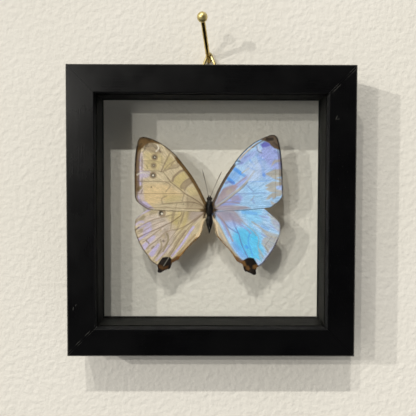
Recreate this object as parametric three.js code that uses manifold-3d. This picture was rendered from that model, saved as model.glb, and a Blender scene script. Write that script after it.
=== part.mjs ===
// A butterfly set between two panes of glass in a black wooden frame that hangs by a brass ring.
//
// Units are millimetres. The part stands on the middle of the bottom rail's underside at z = 0.
// +X is to the right, +Z is up, and the front of the frame faces -Y.

import * as THREE from "three";
import { mergeVertices } from "three/addons/utils/BufferGeometryUtils.js";
import Module from "manifold-3d";

const wasm = await Module();
wasm.setup();

// ---------------------------------------------------------------- driving dimensions

// Frame: four mitred rails with a rabbet that holds the glass sandwich.
const FRAME_WIDTH = 150;
const FRAME_HEIGHT = 151.5;
const FRAME_DEPTH = 25;
const FACE_WIDTH = 14.5;
const RABBET_WIDTH = 5;
const LIP_THICKNESS = 4.5;
const OUTER_EASE = 0.7;
const LIP_EASE = 0.35;
const MITRE_GAP = 0.1;

// Sandwich, from the lip to the back: glass, spacer strips, glass, retaining strips.
const GLASS_THICKNESS = 1.8;
const SPACER_DEPTH = 11.7;
const STRIP_DEPTH = 2.1;
const SEAT_GAP = 0.1;
const EDGE_GAP = 0.3;

// Hanger strap: a plate with a tapered round tip, rolled into an eye at its top.
const STRAP_X = -3.6;
const STRAP_WIDTH = 5.2;
const STRAP_TIP_WIDTH = 3.4;
const STRAP_TIP_ABOVE_OPENING = 0.4;
const STRAP_TO_RAIL = 0.05;
const EYE_INNER_RADIUS = 1.15;
const EYE_OUTER_RADIUS = 1.6;
const EYE_BELOW_TOP = 2.6;

// The strap's screw, driven into the back of the top rail.
const SCREW_BELOW_TOP = 6.9;
const SCREW_HEAD_RADIUS = 1.8;
const SCREW_HEAD_HEIGHT = 0.85;
const SCREW_SHANK_RADIUS = 0.8;
const SCREW_LENGTH = 7;
const SCREW_POINT = 1.4;
const SCREW_HOLE_RADIUS = 1.1;
const SCREW_SLOT_WIDTH = 0.5;
const SCREW_SLOT_DEPTH = 0.45;

// The dome of the screw's head, as shares of its radius and its height.
const SCREW_DOME = [[1, 0], [0.9, 0.5], [0.55, 0.9], [0, 1]];

// Ring: one wire bent to a triangle, its ends meeting in the middle of the bar.
const RING_X = -1;
const RING_WIRE_RADIUS = 0.9;
const RING_HALF_WIDTH = 7.2;
const RING_HEIGHT = 17.2;
const RING_CORNER = 2.2;
const RING_BUTT_GAP = 0.4;

// Butterfly: the place of its body's axis, and its wings.
const BUTTERFLY_X = -0.9;
const BUTTERFLY_Y = 2.4;
const WING_THICKNESS = 0.36;
const WING_RISE = 4;
const FOREWING_FORWARD = 1;
const HINDWING_FORWARD = 0.2;
const RIB_RADIUS = 0.3;
const COSTA_RADIUS = 0.42;
const COSTA_INSET = 0.3;

// Butterfly: head, thorax and abdomen.
const THORAX = { across: 1.75, deep: 2, tall: 4.6, z: 0.9 };
const HEAD = { across: 1.3, deep: 1.2, tall: 1.3, z: 6.1 };
const EYE_RADIUS = 0.8;
const EYE_SPREAD = 1;
const PALP_RADIUS = 0.34;
const PALP_LENGTH = 1.3;
const PALP_SPREAD = 0.35;
const ABDOMEN_TOP = -2.6;
const ABDOMEN_LENGTH = 10.3;
const ABDOMEN_RADIUS = 2;
const ABDOMEN_WIDEST = 0.3;
const ABDOMEN_TAPER = 1.2;
const ABDOMEN_SEGMENTS = 7;
const ABDOMEN_GROOVE = 0.1;

// Butterfly: antennae and legs.
const ANTENNA_RADIUS = 0.17;
const ANTENNA_CLUB_RADIUS = 0.3;
const ANTENNA_CLUB_SHARE = 0.88;
const ANTENNA_BOW = 0.35;
const LEG_RADIUS = 0.2;

// The dab of clear glue that fixes the thorax to the back glass.
const GLUE_RADIUS = 1.3;
const GLUE_Z = 2.6;
const GLUE_GAP = 0.2;

// The dab's section, as shares of its radius and its height.
const GLUE_DOME = [[0, 0], [0.6, 0.12], [0.9, 0.5], [1, 1], [0, 1]];

// How finely round things are cut.
const ROUND_SIDES = 24;
const BODY_SIDES = 16;
const WIRE_SIDES = 8;
const THIN_SIDES = 5;
const RING_STEPS = 44;
const OUTLINE_STEPS_PER_POINT = 2;
const RIB_STEPS_PER_POINT = 2;
const CUT_OVERSHOOT = 1;

// Lengths that follow from the ones above.
const MIDDLE_Z = FRAME_HEIGHT / 2;
const FRONT_Y = -FRAME_DEPTH / 2;
const BACK_Y = FRAME_DEPTH / 2;
const WALL_WIDTH = FACE_WIDTH - RABBET_WIDTH;
const FRONT_GLASS_Y = FRONT_Y + LIP_THICKNESS + SEAT_GAP;
const SPACER_Y = FRONT_GLASS_Y + GLASS_THICKNESS + SEAT_GAP;
const BACK_GLASS_Y = SPACER_Y + SPACER_DEPTH + SEAT_GAP;
const STRIP_Y = BACK_GLASS_Y + GLASS_THICKNESS + SEAT_GAP;
const STRAP_THICKNESS = EYE_OUTER_RADIUS - EYE_INNER_RADIUS;
const STRAP_Y = BACK_Y + STRAP_TO_RAIL;
const EYE_Y = STRAP_Y + EYE_OUTER_RADIUS;
const EYE_Z = FRAME_HEIGHT - EYE_BELOW_TOP;
const SCREW_Z = FRAME_HEIGHT - SCREW_BELOW_TOP;
const SCREW_SEAT_Y = STRAP_Y + STRAP_THICKNESS + STRAP_TO_RAIL;

// ---------------------------------------------------------------- outlines, in millimetres

// Wings lie flat here: first number outwards from the body's middle, second number up.
// Each outline is a root point and a chain of smooth stretches that meet at corners.
const FOREWING = {
  root: [0.6, 2.2],
  stretches: [
    [[3, 6.8], [5, 11], [9.3, 18.2], [14.2, 24.8], [19.2, 30.7], [25.4, 35.6], [31, 38.4],
      [35, 39.6], [37.3, 39.3], [38.7, 37.5], [39.8, 32.5], [40.4, 27], [40.6, 21], [40.6, 15],
      [40.5, 8.6], [39.9, 5.6], [37.3, 2.8], [33.6, 0.4]],
    [[24, -0.3], [14, -0.7], [6, -1], [0.6, -1.2]],
  ],
  ribs: [
    [[1.4, 1.2], [10.6, 7.3], [17.2, 12.8], [20.4, 15.2], [25, 15.9], [39.4, 15.6]],
    [[13.9, 9.9], [18, 9.3], [39.3, 9]],
    [[1.4, 2.2], [9, 12], [16.5, 20], [24.5, 21.4], [31, 25.4], [39.2, 27.2]],
    [[24.5, 21.4], [30, 29.5], [36.6, 37.4]],
  ],
  costa: [[1, 3], [5, 11], [9.3, 18.2], [14.2, 24.8], [19.2, 30.7], [25.4, 35.6], [31, 38.4]],
};
const HINDWING = {
  root: [0.6, 1.2],
  stretches: [
    [[8, 3.6], [16, 5.2], [24, 5], [30, 2.8], [34, 0.1], [38.2, -3.1], [40.2, -5.3],
      [40.7, -8.6], [40.6, -11.4], [39.3, -15.6], [37.3, -20], [34.3, -24.5], [31.9, -28],
      [28.6, -30.4]],
    [[28.2, -32.2], [28.4, -33.8], [27.1, -34.5], [24.6, -33.4], [21.9, -32.6], [20.8, -30.2],
      [20.3, -28.9]],
    [[17.4, -27.5], [16, -25.7], [12.9, -21.6], [9.3, -17.5], [4.9, -14], [3.6, -10.4],
      [2.8, -6.5], [0.6, -3]],
  ],
  ribs: [
    [[1.6, -1], [10, 1.2], [16.5, -3.4], [27, -10.6], [36.6, -17.2]],
    [[10, 1.2], [20, -3], [31, -7.8], [39, -11]],
    [[1.6, -1.6], [11, -8.2], [19, -18], [25, -28.6]],
  ],
};

// How each wing is set: its turn in degrees, positive upwards, and its breadth.
const WING_SETS = [
  { side: -1, fore: { turn: 0, breadth: 1 }, hind: { turn: 0, breadth: 1 } },
  { side: 1, fore: { turn: 2, breadth: 0.99 }, hind: { turn: -2.5, breadth: 0.96 } },
];

// Antenna tips and folded legs, as offsets from the body's axis: sideways, back and up.
const ANTENNA_ROOT = [0.5, -0.9, 6.9];
const ANTENNA_TIPS = [[-3.9, -1.7, 22], [6.6, -1.7, 21]];
const LEGS = [
  [[0.8, 1, 1.2], [2.2, 1.9, -0.8], [1.2, 2.5, -3.8], [0.7, 2.6, -6.6]],
  [[0.8, 1, -1.4], [2.2, 1.9, -3.2], [1.3, 2.5, -6.2], [0.9, 2.6, -9.2]],
];

// ---------------------------------------------------------------- materials

function finish(color, roughness, metalness = 0) {
  return new THREE.MeshStandardMaterial({ color, roughness, metalness });
}

function blackWood() {
  return finish(0x101013, 0.42);
}

function brass() {
  return finish(0xb9964f, 0.32, 1);
}

function wingScales() {
  return finish(0xa3a9b4, 0.55);
}

function clearGlass() {
  const glass = finish(0xeef4f1, 0.03);
  glass.transparent = true;
  glass.opacity = 0.18;
  return glass;
}

// ---------------------------------------------------------------- solids

// Turns a closed geometry into a solid that can be joined and cut.
function solid(geometry) {
  const bare = geometry.clone();
  bare.deleteAttribute("normal");
  bare.deleteAttribute("uv");
  const merged = mergeVertices(bare);
  const mesh = new wasm.Mesh({
    numProp: 3,
    vertProperties: new Float32Array(merged.attributes.position.array),
    triVerts: new Uint32Array(merged.index.array),
  });
  return new wasm.Manifold(mesh);
}

// Turns a solid back into a geometry.
function geometryOf(body) {
  const mesh = body.getMesh();
  const geometry = new THREE.BufferGeometry();
  geometry.setAttribute("position", new THREE.BufferAttribute(mesh.vertProperties, 3));
  geometry.setIndex(new THREE.BufferAttribute(mesh.triVerts, 1));
  geometry.computeVertexNormals();
  return geometry;
}

function joined(geometries) {
  return geometries.map(solid).reduce((whole, next) => whole.add(next));
}

function named(name, geometry, material) {
  const mesh = new THREE.Mesh(geometry, material);
  mesh.name = name;
  return mesh;
}

// A round rod that follows a curve.
function rodAlong(curve, radius, steps, sides) {
  const section = new THREE.Shape();
  section.absarc(0, 0, radius, 0, 2 * Math.PI, false);
  return new THREE.ExtrudeGeometry(section, { steps, curveSegments: sides / 2, extrudePath: curve });
}

// A solid of revolution about Y, from points given as radius and height.
function turned(profile, sides) {
  return new THREE.LatheGeometry(profile.map(([r, y]) => new THREE.Vector2(r, y)), sides);
}

// A ball stretched to three half sizes.
function ellipsoid({ across, deep, tall, z }) {
  const ball = new THREE.SphereGeometry(1, BODY_SIDES, BODY_SIDES / 2);
  ball.rotateX(Math.PI / 2);
  ball.scale(across, deep, tall);
  ball.translate(0, 0, z);
  return ball;
}

// ---------------------------------------------------------------- frame

// A straight bar with 45 degree mitres. The section's x runs from the frame's outer edge inwards
// and its y from front to back. The bar lies along X, below the middle of the frame.
function mitredBar(section, length, reach) {
  const bar = new THREE.ExtrudeGeometry(section, { depth: 1, bevelEnabled: false });
  const place = bar.attributes.position;
  for (let i = 0; i < place.count; i += 1) {
    const inwards = place.getX(i);
    const along = (0.5 - place.getZ(i)) * (length - 2 * inwards - MITRE_GAP);
    place.setXYZ(i, along, place.getY(i), inwards - reach);
  }
  bar.computeVertexNormals();
  return bar;
}

function polygon(points) {
  return new THREE.Shape(points.map(([x, y]) => new THREE.Vector2(x, y)));
}

function railSection() {
  return polygon([
    [0, FRONT_Y + OUTER_EASE],
    [OUTER_EASE, FRONT_Y],
    [FACE_WIDTH - LIP_EASE, FRONT_Y],
    [FACE_WIDTH, FRONT_Y + LIP_EASE],
    [FACE_WIDTH, FRONT_Y + LIP_THICKNESS],
    [WALL_WIDTH, FRONT_Y + LIP_THICKNESS],
    [WALL_WIDTH, BACK_Y],
    [LIP_EASE, BACK_Y],
    [0, BACK_Y - LIP_EASE],
  ]);
}

function stripSection(y, depth) {
  const outer = WALL_WIDTH + EDGE_GAP;
  return polygon([[outer, y], [FACE_WIDTH, y], [FACE_WIDTH, y + depth], [outer, y + depth]]);
}

// One bar of a kind on each side of the frame, each a quarter turn on from the last.
function fourBars(prefix, section) {
  return ["bottom", "left", "top", "right"].map((side, quarter) => {
    const upright = quarter % 2 === 1;
    const length = upright ? FRAME_HEIGHT : FRAME_WIDTH;
    const reach = upright ? FRAME_WIDTH / 2 : FRAME_HEIGHT / 2;
    const bar = named(`${prefix}_${side}`, mitredBar(section, length, reach), blackWood());
    bar.rotation.y = (quarter * Math.PI) / 2;
    bar.position.z = MIDDLE_Z;
    return bar;
  });
}

// The screw's pilot hole. The top rail's own geometry is upside down, because the rail is turned
// half round about Y, so the hole is placed the same way.
function drillForScrew(rail) {
  const hole = new THREE.CylinderGeometry(
    SCREW_HOLE_RADIUS, SCREW_HOLE_RADIUS, SCREW_LENGTH + CUT_OVERSHOOT, ROUND_SIDES,
  );
  hole.translate(-STRAP_X, BACK_Y - (SCREW_LENGTH - CUT_OVERSHOOT) / 2, MIDDLE_Z - SCREW_Z);
  rail.geometry = geometryOf(solid(rail.geometry).subtract(solid(hole)));
}

function rails() {
  const bars = fourBars("rail", railSection());
  drillForScrew(bars.find((bar) => bar.name === "rail_top"));
  return bars;
}

function spacers() {
  return fourBars("spacer", stripSection(SPACER_Y, SPACER_DEPTH));
}

function backStrips() {
  return fourBars("back_strip", stripSection(STRIP_Y, STRIP_DEPTH));
}

function pane(name, y) {
  const margin = 2 * (WALL_WIDTH + EDGE_GAP);
  const sheet = new THREE.BoxGeometry(FRAME_WIDTH - margin, GLASS_THICKNESS, FRAME_HEIGHT - margin);
  const mesh = named(name, sheet, clearGlass());
  mesh.position.set(0, y + GLASS_THICKNESS / 2, MIDDLE_Z);
  return mesh;
}

// ---------------------------------------------------------------- hanger

// The flat of the strap, with its screw hole. It stands in the XZ plane and is thick along +Y.
function strapPlate() {
  const half = STRAP_WIDTH / 2;
  const shoulder = SCREW_Z - SCREW_HEAD_RADIUS;
  const tipRadius = STRAP_TIP_WIDTH / 2;
  const tipZ = FRAME_HEIGHT - FACE_WIDTH + STRAP_TIP_ABOVE_OPENING + tipRadius;
  const outline = new THREE.Shape();
  outline.moveTo(half, EYE_Z);
  outline.lineTo(-half, EYE_Z);
  outline.lineTo(-half, shoulder);
  outline.absarc(0, tipZ, tipRadius, Math.PI, 2 * Math.PI, false);
  outline.lineTo(half, shoulder);
  const hole = new THREE.Path();
  hole.absarc(0, SCREW_Z, SCREW_HOLE_RADIUS, 0, 2 * Math.PI, true);
  outline.holes.push(hole);
  const plate = new THREE.ExtrudeGeometry(outline, {
    depth: STRAP_THICKNESS, bevelEnabled: false, curveSegments: ROUND_SIDES / 2,
  });
  plate.rotateX(Math.PI / 2);
  plate.translate(0, STRAP_THICKNESS, 0);
  return plate;
}

// The rolled eye at the top of the strap, a short tube along X.
function strapEye() {
  const section = new THREE.Shape();
  section.absarc(0, 0, EYE_OUTER_RADIUS, 0, 2 * Math.PI, false);
  const bore = new THREE.Path();
  bore.absarc(0, 0, EYE_INNER_RADIUS, 0, 2 * Math.PI, true);
  section.holes.push(bore);
  const eye = new THREE.ExtrudeGeometry(section, {
    depth: STRAP_WIDTH, bevelEnabled: false, curveSegments: ROUND_SIDES / 2,
  });
  eye.translate(0, 0, -STRAP_WIDTH / 2);
  eye.rotateY(Math.PI / 2);
  eye.translate(0, EYE_OUTER_RADIUS, EYE_Z);
  return eye;
}

function hangerStrap() {
  const strap = named("hanger_strap", geometryOf(joined([strapPlate(), strapEye()])), brass());
  strap.position.set(STRAP_X, STRAP_Y, 0);
  return strap;
}

// The screw points along -Y, and y = 0 is the underside of its domed head.
function hangerScrew() {
  const shank = SCREW_LENGTH - SCREW_POINT;
  const dome = SCREW_DOME.map(([r, y]) => [r * SCREW_HEAD_RADIUS, y * SCREW_HEAD_HEIGHT]);
  const stem = [[0, -SCREW_LENGTH], [SCREW_SHANK_RADIUS, -shank], [SCREW_SHANK_RADIUS, 0]];
  const slotY = SCREW_HEAD_HEIGHT - SCREW_SLOT_DEPTH / 2;
  const across = new THREE.BoxGeometry(SCREW_HEAD_RADIUS, SCREW_SLOT_DEPTH, SCREW_SLOT_WIDTH);
  const upright = new THREE.BoxGeometry(SCREW_SLOT_WIDTH, SCREW_SLOT_DEPTH, SCREW_HEAD_RADIUS);
  across.translate(0, slotY, 0);
  upright.translate(0, slotY, 0);
  const cross = joined([across, upright]);
  const uncut = turned([...stem, ...dome], ROUND_SIDES);
  const screw = named("hanger_screw", geometryOf(solid(uncut).subtract(cross)), brass());
  screw.position.set(STRAP_X, SCREW_SEAT_Y, SCREW_Z);
  return screw;
}

// A path round a triangle with rounded corners, starting in the middle of its base.
function roundedTriangle(corners, start, end) {
  const path = new THREE.CurvePath();
  let from = start;
  corners.forEach((corner, i) => {
    const next = corners[i + 1] ?? end;
    const before = corner.clone().add(from.clone().sub(corner).setLength(RING_CORNER));
    const after = corner.clone().add(next.clone().sub(corner).setLength(RING_CORNER));
    path.add(new THREE.LineCurve3(from, before));
    path.add(new THREE.QuadraticBezierCurve3(before, corner, after));
    from = after;
  });
  path.add(new THREE.LineCurve3(from, end));
  return path;
}

// The ring turns about its base bar, which lies on its own X axis.
function hangerRing() {
  const butt = RING_BUTT_GAP / 2;
  const corners = [
    new THREE.Vector3(RING_HALF_WIDTH, 0, 0),
    new THREE.Vector3(0, 0, RING_HEIGHT),
    new THREE.Vector3(-RING_HALF_WIDTH, 0, 0),
  ];
  const path = roundedTriangle(corners, new THREE.Vector3(butt, 0, 0), new THREE.Vector3(-butt, 0, 0));
  const wire = rodAlong(path, RING_WIRE_RADIUS, RING_STEPS, WIRE_SIDES);
  const ring = named("hanger_ring", wire, brass());
  ring.position.set(RING_X, EYE_Y, EYE_Z);
  return ring;
}

// ---------------------------------------------------------------- butterfly

function wingPlate({ root, stretches }, side) {
  const outline = new THREE.Shape();
  outline.moveTo(side * root[0], root[1]);
  stretches.forEach((stretch) => {
    outline.splineThru(stretch.map(([out, up]) => new THREE.Vector2(side * out, up)));
  });
  const plate = new THREE.ExtrudeGeometry(outline, {
    depth: WING_THICKNESS, bevelEnabled: false, curveSegments: OUTLINE_STEPS_PER_POINT,
  });
  plate.rotateX(Math.PI / 2);
  plate.translate(0, WING_THICKNESS / 2, 0);
  return plate;
}

function wingRib(points, radius, side) {
  const places = points.map(([out, up]) => new THREE.Vector3(side * out, 0, up));
  const steps = RIB_STEPS_PER_POINT * points.length;
  return rodAlong(new THREE.CatmullRomCurve3(places, false, "centripetal"), radius, steps, THIN_SIDES);
}

// The thick leading edge of the forewing, just inside the outline.
function wingCosta({ costa }, side) {
  const inset = costa.map(([out, up]) => [out + COSTA_INSET, up - COSTA_INSET]);
  return wingRib(inset, COSTA_RADIUS, side);
}

// A flat wing with its ribs, set at its turn and its rise, which brings the tip forwards.
function wing(shape, side, { turn, breadth }, forward) {
  const pieces = [wingPlate(shape, side), ...shape.ribs.map((rib) => wingRib(rib, RIB_RADIUS, side))];
  if (shape.costa) pieces.push(wingCosta(shape, side));
  pieces.forEach((piece) => {
    piece.scale(breadth, 1, 1);
    piece.rotateY(THREE.MathUtils.degToRad(-side * turn));
    piece.rotateZ(THREE.MathUtils.degToRad(-side * WING_RISE));
    piece.translate(0, -forward, 0);
  });
  return pieces;
}

// The abdomen tapers to a point, with a shallow groove between its segments.
function abdomen() {
  const radiusAt = (share) => {
    const away = (share - ABDOMEN_WIDEST) / (1 - ABDOMEN_WIDEST);
    return ABDOMEN_RADIUS * (1 - away ** 2) ** ABDOMEN_TAPER;
  };
  const profile = [[0, -ABDOMEN_LENGTH]];
  for (let i = 2 * ABDOMEN_SEGMENTS - 1; i >= 0; i -= 1) {
    const share = i / (2 * ABDOMEN_SEGMENTS);
    const groove = i % 2 === 0 ? ABDOMEN_GROOVE : 0;
    profile.push([radiusAt(share) - groove, -share * ABDOMEN_LENGTH]);
  }
  profile.push([0, 0]);
  const body = turned(profile, BODY_SIDES);
  body.rotateX(Math.PI / 2);
  body.translate(0, 0, ABDOMEN_TOP);
  return body;
}

function eye(side) {
  const ball = new THREE.SphereGeometry(EYE_RADIUS, BODY_SIDES / 2, BODY_SIDES / 2);
  ball.translate(side * EYE_SPREAD, 0, HEAD.z);
  return ball;
}

function palp(side) {
  const cone = new THREE.ConeGeometry(PALP_RADIUS, PALP_LENGTH, THIN_SIDES);
  cone.rotateX(Math.PI / 2);
  cone.translate(side * PALP_SPREAD, 0, HEAD.z + HEAD.tall / 2 + PALP_LENGTH / 2);
  return cone;
}

// A thin stalk with a slight bow, and a club over its last part.
function antenna(tip) {
  const side = Math.sign(tip[0]);
  const root = new THREE.Vector3(side * ANTENNA_ROOT[0], ANTENNA_ROOT[1], ANTENNA_ROOT[2]);
  const end = new THREE.Vector3(...tip);
  const middle = root.clone().lerp(end, 0.5);
  middle.x -= side * ANTENNA_BOW;
  const stalk = new THREE.QuadraticBezierCurve3(root, middle, end);
  const club = new THREE.LineCurve3(stalk.getPoint(ANTENNA_CLUB_SHARE), end);
  return [
    rodAlong(stalk, ANTENNA_RADIUS, 2 * THIN_SIDES, THIN_SIDES),
    rodAlong(club, ANTENNA_CLUB_RADIUS, 1, THIN_SIDES + 1),
  ];
}

function leg(points, side) {
  const joints = points.map(([out, back, up]) => new THREE.Vector3(side * out, back, up));
  const path = new THREE.CatmullRomCurve3(joints, false, "centripetal");
  return rodAlong(path, LEG_RADIUS, RIB_STEPS_PER_POINT * points.length, THIN_SIDES);
}

// The whole insect is one dry piece: body, legs, antennae and wings grew together.
function butterfly() {
  const pieces = [ellipsoid(THORAX), ellipsoid(HEAD), abdomen()];
  WING_SETS.forEach(({ side, fore, hind }) => {
    pieces.push(...wing(FOREWING, side, fore, FOREWING_FORWARD));
    pieces.push(...wing(HINDWING, side, hind, HINDWING_FORWARD));
    pieces.push(eye(side), palp(side), ...LEGS.map((points) => leg(points, side)));
  });
  ANTENNA_TIPS.forEach((tip) => pieces.push(...antenna(tip)));
  const insect = named("butterfly", geometryOf(joined(pieces)), wingScales());
  insect.position.set(BUTTERFLY_X, BUTTERFLY_Y, MIDDLE_Z);
  return insect;
}

// The dab spreads out on the back glass and stops just short of the thorax.
function glueDab() {
  const fromAxis = THORAX.deep * Math.sqrt(1 - ((GLUE_Z - THORAX.z) / THORAX.tall) ** 2);
  const front = BUTTERFLY_Y + fromAxis + GLUE_GAP;
  const back = BACK_GLASS_Y - SEAT_GAP;
  const height = back - front;
  const profile = GLUE_DOME.map(([r, y]) => [r * GLUE_RADIUS, y * height]);
  const dab = named("glue_dab", turned(profile, BODY_SIDES), clearGlass());
  dab.position.set(BUTTERFLY_X, front, MIDDLE_Z + GLUE_Z);
  return dab;
}

// ---------------------------------------------------------------- assembly

const part = new THREE.Group();
part.add(...rails(), ...spacers(), ...backStrips());
part.add(pane("glass_front", FRONT_GLASS_Y), pane("glass_back", BACK_GLASS_Y));
part.add(hangerStrap(), hangerScrew(), hangerRing());
part.add(butterfly(), glueDab());

export default part;
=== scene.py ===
from math import cos, pi, radians, sin

import bpy
import numpy as np
from mathutils import Matrix, Vector
from mathutils.geometry import delaunay_2d_cdt


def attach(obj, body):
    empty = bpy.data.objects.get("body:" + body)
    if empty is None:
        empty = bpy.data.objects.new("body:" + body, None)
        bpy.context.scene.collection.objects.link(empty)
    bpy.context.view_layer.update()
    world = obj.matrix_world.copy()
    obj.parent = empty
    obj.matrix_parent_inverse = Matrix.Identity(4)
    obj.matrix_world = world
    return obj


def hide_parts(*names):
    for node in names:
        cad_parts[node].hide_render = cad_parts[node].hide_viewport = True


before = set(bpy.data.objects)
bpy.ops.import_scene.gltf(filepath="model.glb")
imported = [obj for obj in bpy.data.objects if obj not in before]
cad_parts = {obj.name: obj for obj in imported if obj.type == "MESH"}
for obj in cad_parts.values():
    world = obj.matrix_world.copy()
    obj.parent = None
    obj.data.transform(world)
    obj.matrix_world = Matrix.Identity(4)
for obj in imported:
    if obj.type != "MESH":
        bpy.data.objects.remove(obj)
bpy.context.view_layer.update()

# A butterfly between two panes of glass in a black wooden frame, and the wall it hangs on.
# Lengths are in millimetres up to the point where a mesh is made, and in metres after it.

MM = 0.001

# ---------------------------------------------------------------- dimensions shared with the CAD

MIDDLE_Z = 75.75
BODY_X = -0.9
BODY_Y = 2.4
WING_RISE = 4
FOREWING_FORWARD = 1.0
HINDWING_FORWARD = 0.2

# The wings' outlines, outwards and up from the body's middle: smooth stretches between corners.
FOREWING = {
    "root": (0.6, 2.2),
    "stretches": [
        [(3, 6.8), (5, 11), (9.3, 18.2), (14.2, 24.8), (19.2, 30.7), (25.4, 35.6), (31, 38.4),
         (35, 39.6), (37.3, 39.3), (38.7, 37.5), (39.8, 32.5), (40.4, 27), (40.6, 21), (40.6, 15),
         (40.5, 8.6), (39.9, 5.6), (37.3, 2.8), (33.6, 0.4)],
        [(24, -0.3), (14, -0.7), (6, -1), (0.6, -1.2)],
    ],
}
HINDWING = {
    "root": (0.6, 1.2),
    "stretches": [
        [(8, 3.6), (16, 5.2), (24, 5), (30, 2.8), (34, 0.1), (38.2, -3.1), (40.2, -5.3),
         (40.7, -8.6), (40.6, -11.4), (39.3, -15.6), (37.3, -20), (34.3, -24.5), (31.9, -28),
         (28.6, -30.4)],
        [(28.2, -32.2), (28.4, -33.8), (27.1, -34.5), (24.6, -33.4), (21.9, -32.6),
         (20.8, -30.2), (20.3, -28.9)],
        [(17.4, -27.5), (16, -25.7), (12.9, -21.6), (9.3, -17.5), (4.9, -14), (3.6, -10.4),
         (2.8, -6.5), (0.6, -3)],
    ],
}
# Each wing's outline, side, turn and breadth as it is set, and how far forward it lies.
WING_SETS = {
    "forewing_left": (FOREWING, -1, 0, 1, FOREWING_FORWARD),
    "hindwing_left": (HINDWING, -1, 0, 1, HINDWING_FORWARD),
    "forewing_right": (FOREWING, 1, 2, 0.99, FOREWING_FORWARD),
    "hindwing_right": (HINDWING, 1, -2.5, 0.96, HINDWING_FORWARD),
}

# ---------------------------------------------------------------- node trees


def srgb(red, green, blue):
    """An RGBA colour for a shader from the 0 to 255 values of a screen."""
    shares = [value / 255 for value in (red, green, blue)]
    linear = [s / 12.92 if s <= 0.04045 else ((s + 0.055) / 1.055) ** 2.4 for s in shares]
    return (*linear, 1)


class Nodes:
    """One material's or world's node tree, with a short call for each kind of node."""

    def __init__(self, owner):
        owner.use_nodes = True
        self.owner = owner
        self.tree = owner.node_tree
        self.tree.nodes.clear()

    def add(self, kind, inputs=(), **settings):
        node = self.tree.nodes.new(kind)
        for key, value in settings.items():
            setattr(node, key, value)
        for key, value in dict(inputs).items():
            self.feed(node.inputs[key], value)
        return node

    def feed(self, socket, value):
        if isinstance(value, bpy.types.NodeSocket):
            self.tree.links.new(value, socket)
        else:
            socket.default_value = value

    def math(self, operation, *values, clamp=False):
        node = self.add("ShaderNodeMath", enumerate(values), operation=operation)
        node.use_clamp = clamp
        return node.outputs[0]

    def plus(self, a, b):
        return self.math("ADD", a, b)

    def minus(self, a, b):
        return self.math("SUBTRACT", a, b)

    def times(self, a, b):
        return self.math("MULTIPLY", a, b)

    def within(self, value, limit):
        """One where a value is nearer to nought than the limit, and nought elsewhere."""
        return self.math("LESS_THAN", self.math("ABSOLUTE", value), limit)

    def stretched(self, place, scales):
        return self.add("ShaderNodeVectorMath", {0: place, 1: scales}, operation="MULTIPLY").outputs[0]

    def split(self, place):
        return self.add("ShaderNodeSeparateXYZ", {0: place}).outputs

    def mix(self, share, a, b, blend="MIX"):
        inputs = {0: share, 6: a, 7: b}
        return self.add("ShaderNodeMix", inputs, data_type="RGBA", blend_type=blend).outputs[2]

    def shaded(self, colour, light):
        """A colour times a number."""
        grey = self.add("ShaderNodeCombineColor", {0: light, 1: light, 2: light}).outputs[0]
        return self.mix(1.0, colour, grey, "MULTIPLY")

    def between(self, value, low, high, to_low=0.0, to_high=1.0):
        inputs = {0: value, 1: low, 2: high, 3: to_low, 4: to_high}
        node = self.add("ShaderNodeMapRange", inputs, interpolation_type="SMOOTHSTEP")
        return node.outputs[0]

    def noise(self, place, scale, detail=2.0):
        inputs = {"Vector": place, "Scale": scale, "Detail": detail}
        return self.add("ShaderNodeTexNoise", inputs).outputs["Fac"]

    def place(self):
        return self.add("ShaderNodeTexCoord").outputs["Object"]

    def attribute(self, name, output="Fac"):
        return self.add("ShaderNodeAttribute", attribute_name=name).outputs[output]

    def bump(self, height, distance, strength=1.0):
        inputs = {"Height": height, "Distance": distance, "Strength": strength}
        return self.add("ShaderNodeBump", inputs).outputs["Normal"]

    def surface(self, shader):
        output = self.add("ShaderNodeOutputMaterial", {"Surface": shader.outputs[0]})
        return output and self.owner

    def principled(self, **inputs):
        named = {key.replace("_", " "): value for key, value in inputs.items()}
        return self.add("ShaderNodeBsdfPrincipled", named)

    def either(self, share, first, second):
        """One shader or the other, by a share."""
        return self.add("ShaderNodeMixShader", {0: share, 1: first.outputs[0], 2: second.outputs[0]})


def material(name):
    return Nodes(bpy.data.materials.new(name))


# ---------------------------------------------------------------- materials of the frame

# The sides of the frame's opening, from its middle, and where two mitres lie, as x less z.
OPENING_HALF_WIDTH = 60.7
OPENING_HALF_HEIGHT = 61.4
UPPER_RIGHT_MITRE = -76.5
LOWER_LEFT_MITRE = -75.0
ROUGHER_IN_OPENING = 0.62
SCRATCH_STRENGTH = 0.55


def grain_along(m, place, along, fineness, length, detail):
    """Fine wood grain that is drawn out along one axis."""
    scales = [fineness] * 3
    scales[along] = length
    return m.noise(m.stretched(place, tuple(scales)), 1.0, detail)


def black_paint(name, along):
    """Satin black paint on fine wood, with its grain along one axis and light wear."""
    m = material(name)
    place = m.place()
    grain = grain_along(m, place, along, 1500.0, 60.0, 3.0)
    cloud = m.noise(place, 45.0, 3.0)
    dust = m.between(m.noise(place, 1900.0, 0.0), 0.78, 0.86, 0.0, 0.08)
    paint = m.mix(cloud, srgb(3, 3, 4), srgb(8, 8, 9))
    worn = m.mix(mitre_wear(m, place), paint, srgb(70, 69, 66))
    colour = m.mix(m.math("MAXIMUM", dust, scratches(m, place)), worn, srgb(92, 91, 88))
    rough = m.plus(m.between(cloud, 0.3, 0.7, 0.22, 0.3), m.times(grain, 0.06))
    matte = m.times(in_opening(m, place), ROUGHER_IN_OPENING)
    return m.surface(m.principled(
        Base_Color=colour, Roughness=m.plus(rough, matte), Specular_IOR_Level=0.18,
        Normal=m.bump(grain, 0.00003, 0.6),
    ))


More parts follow.
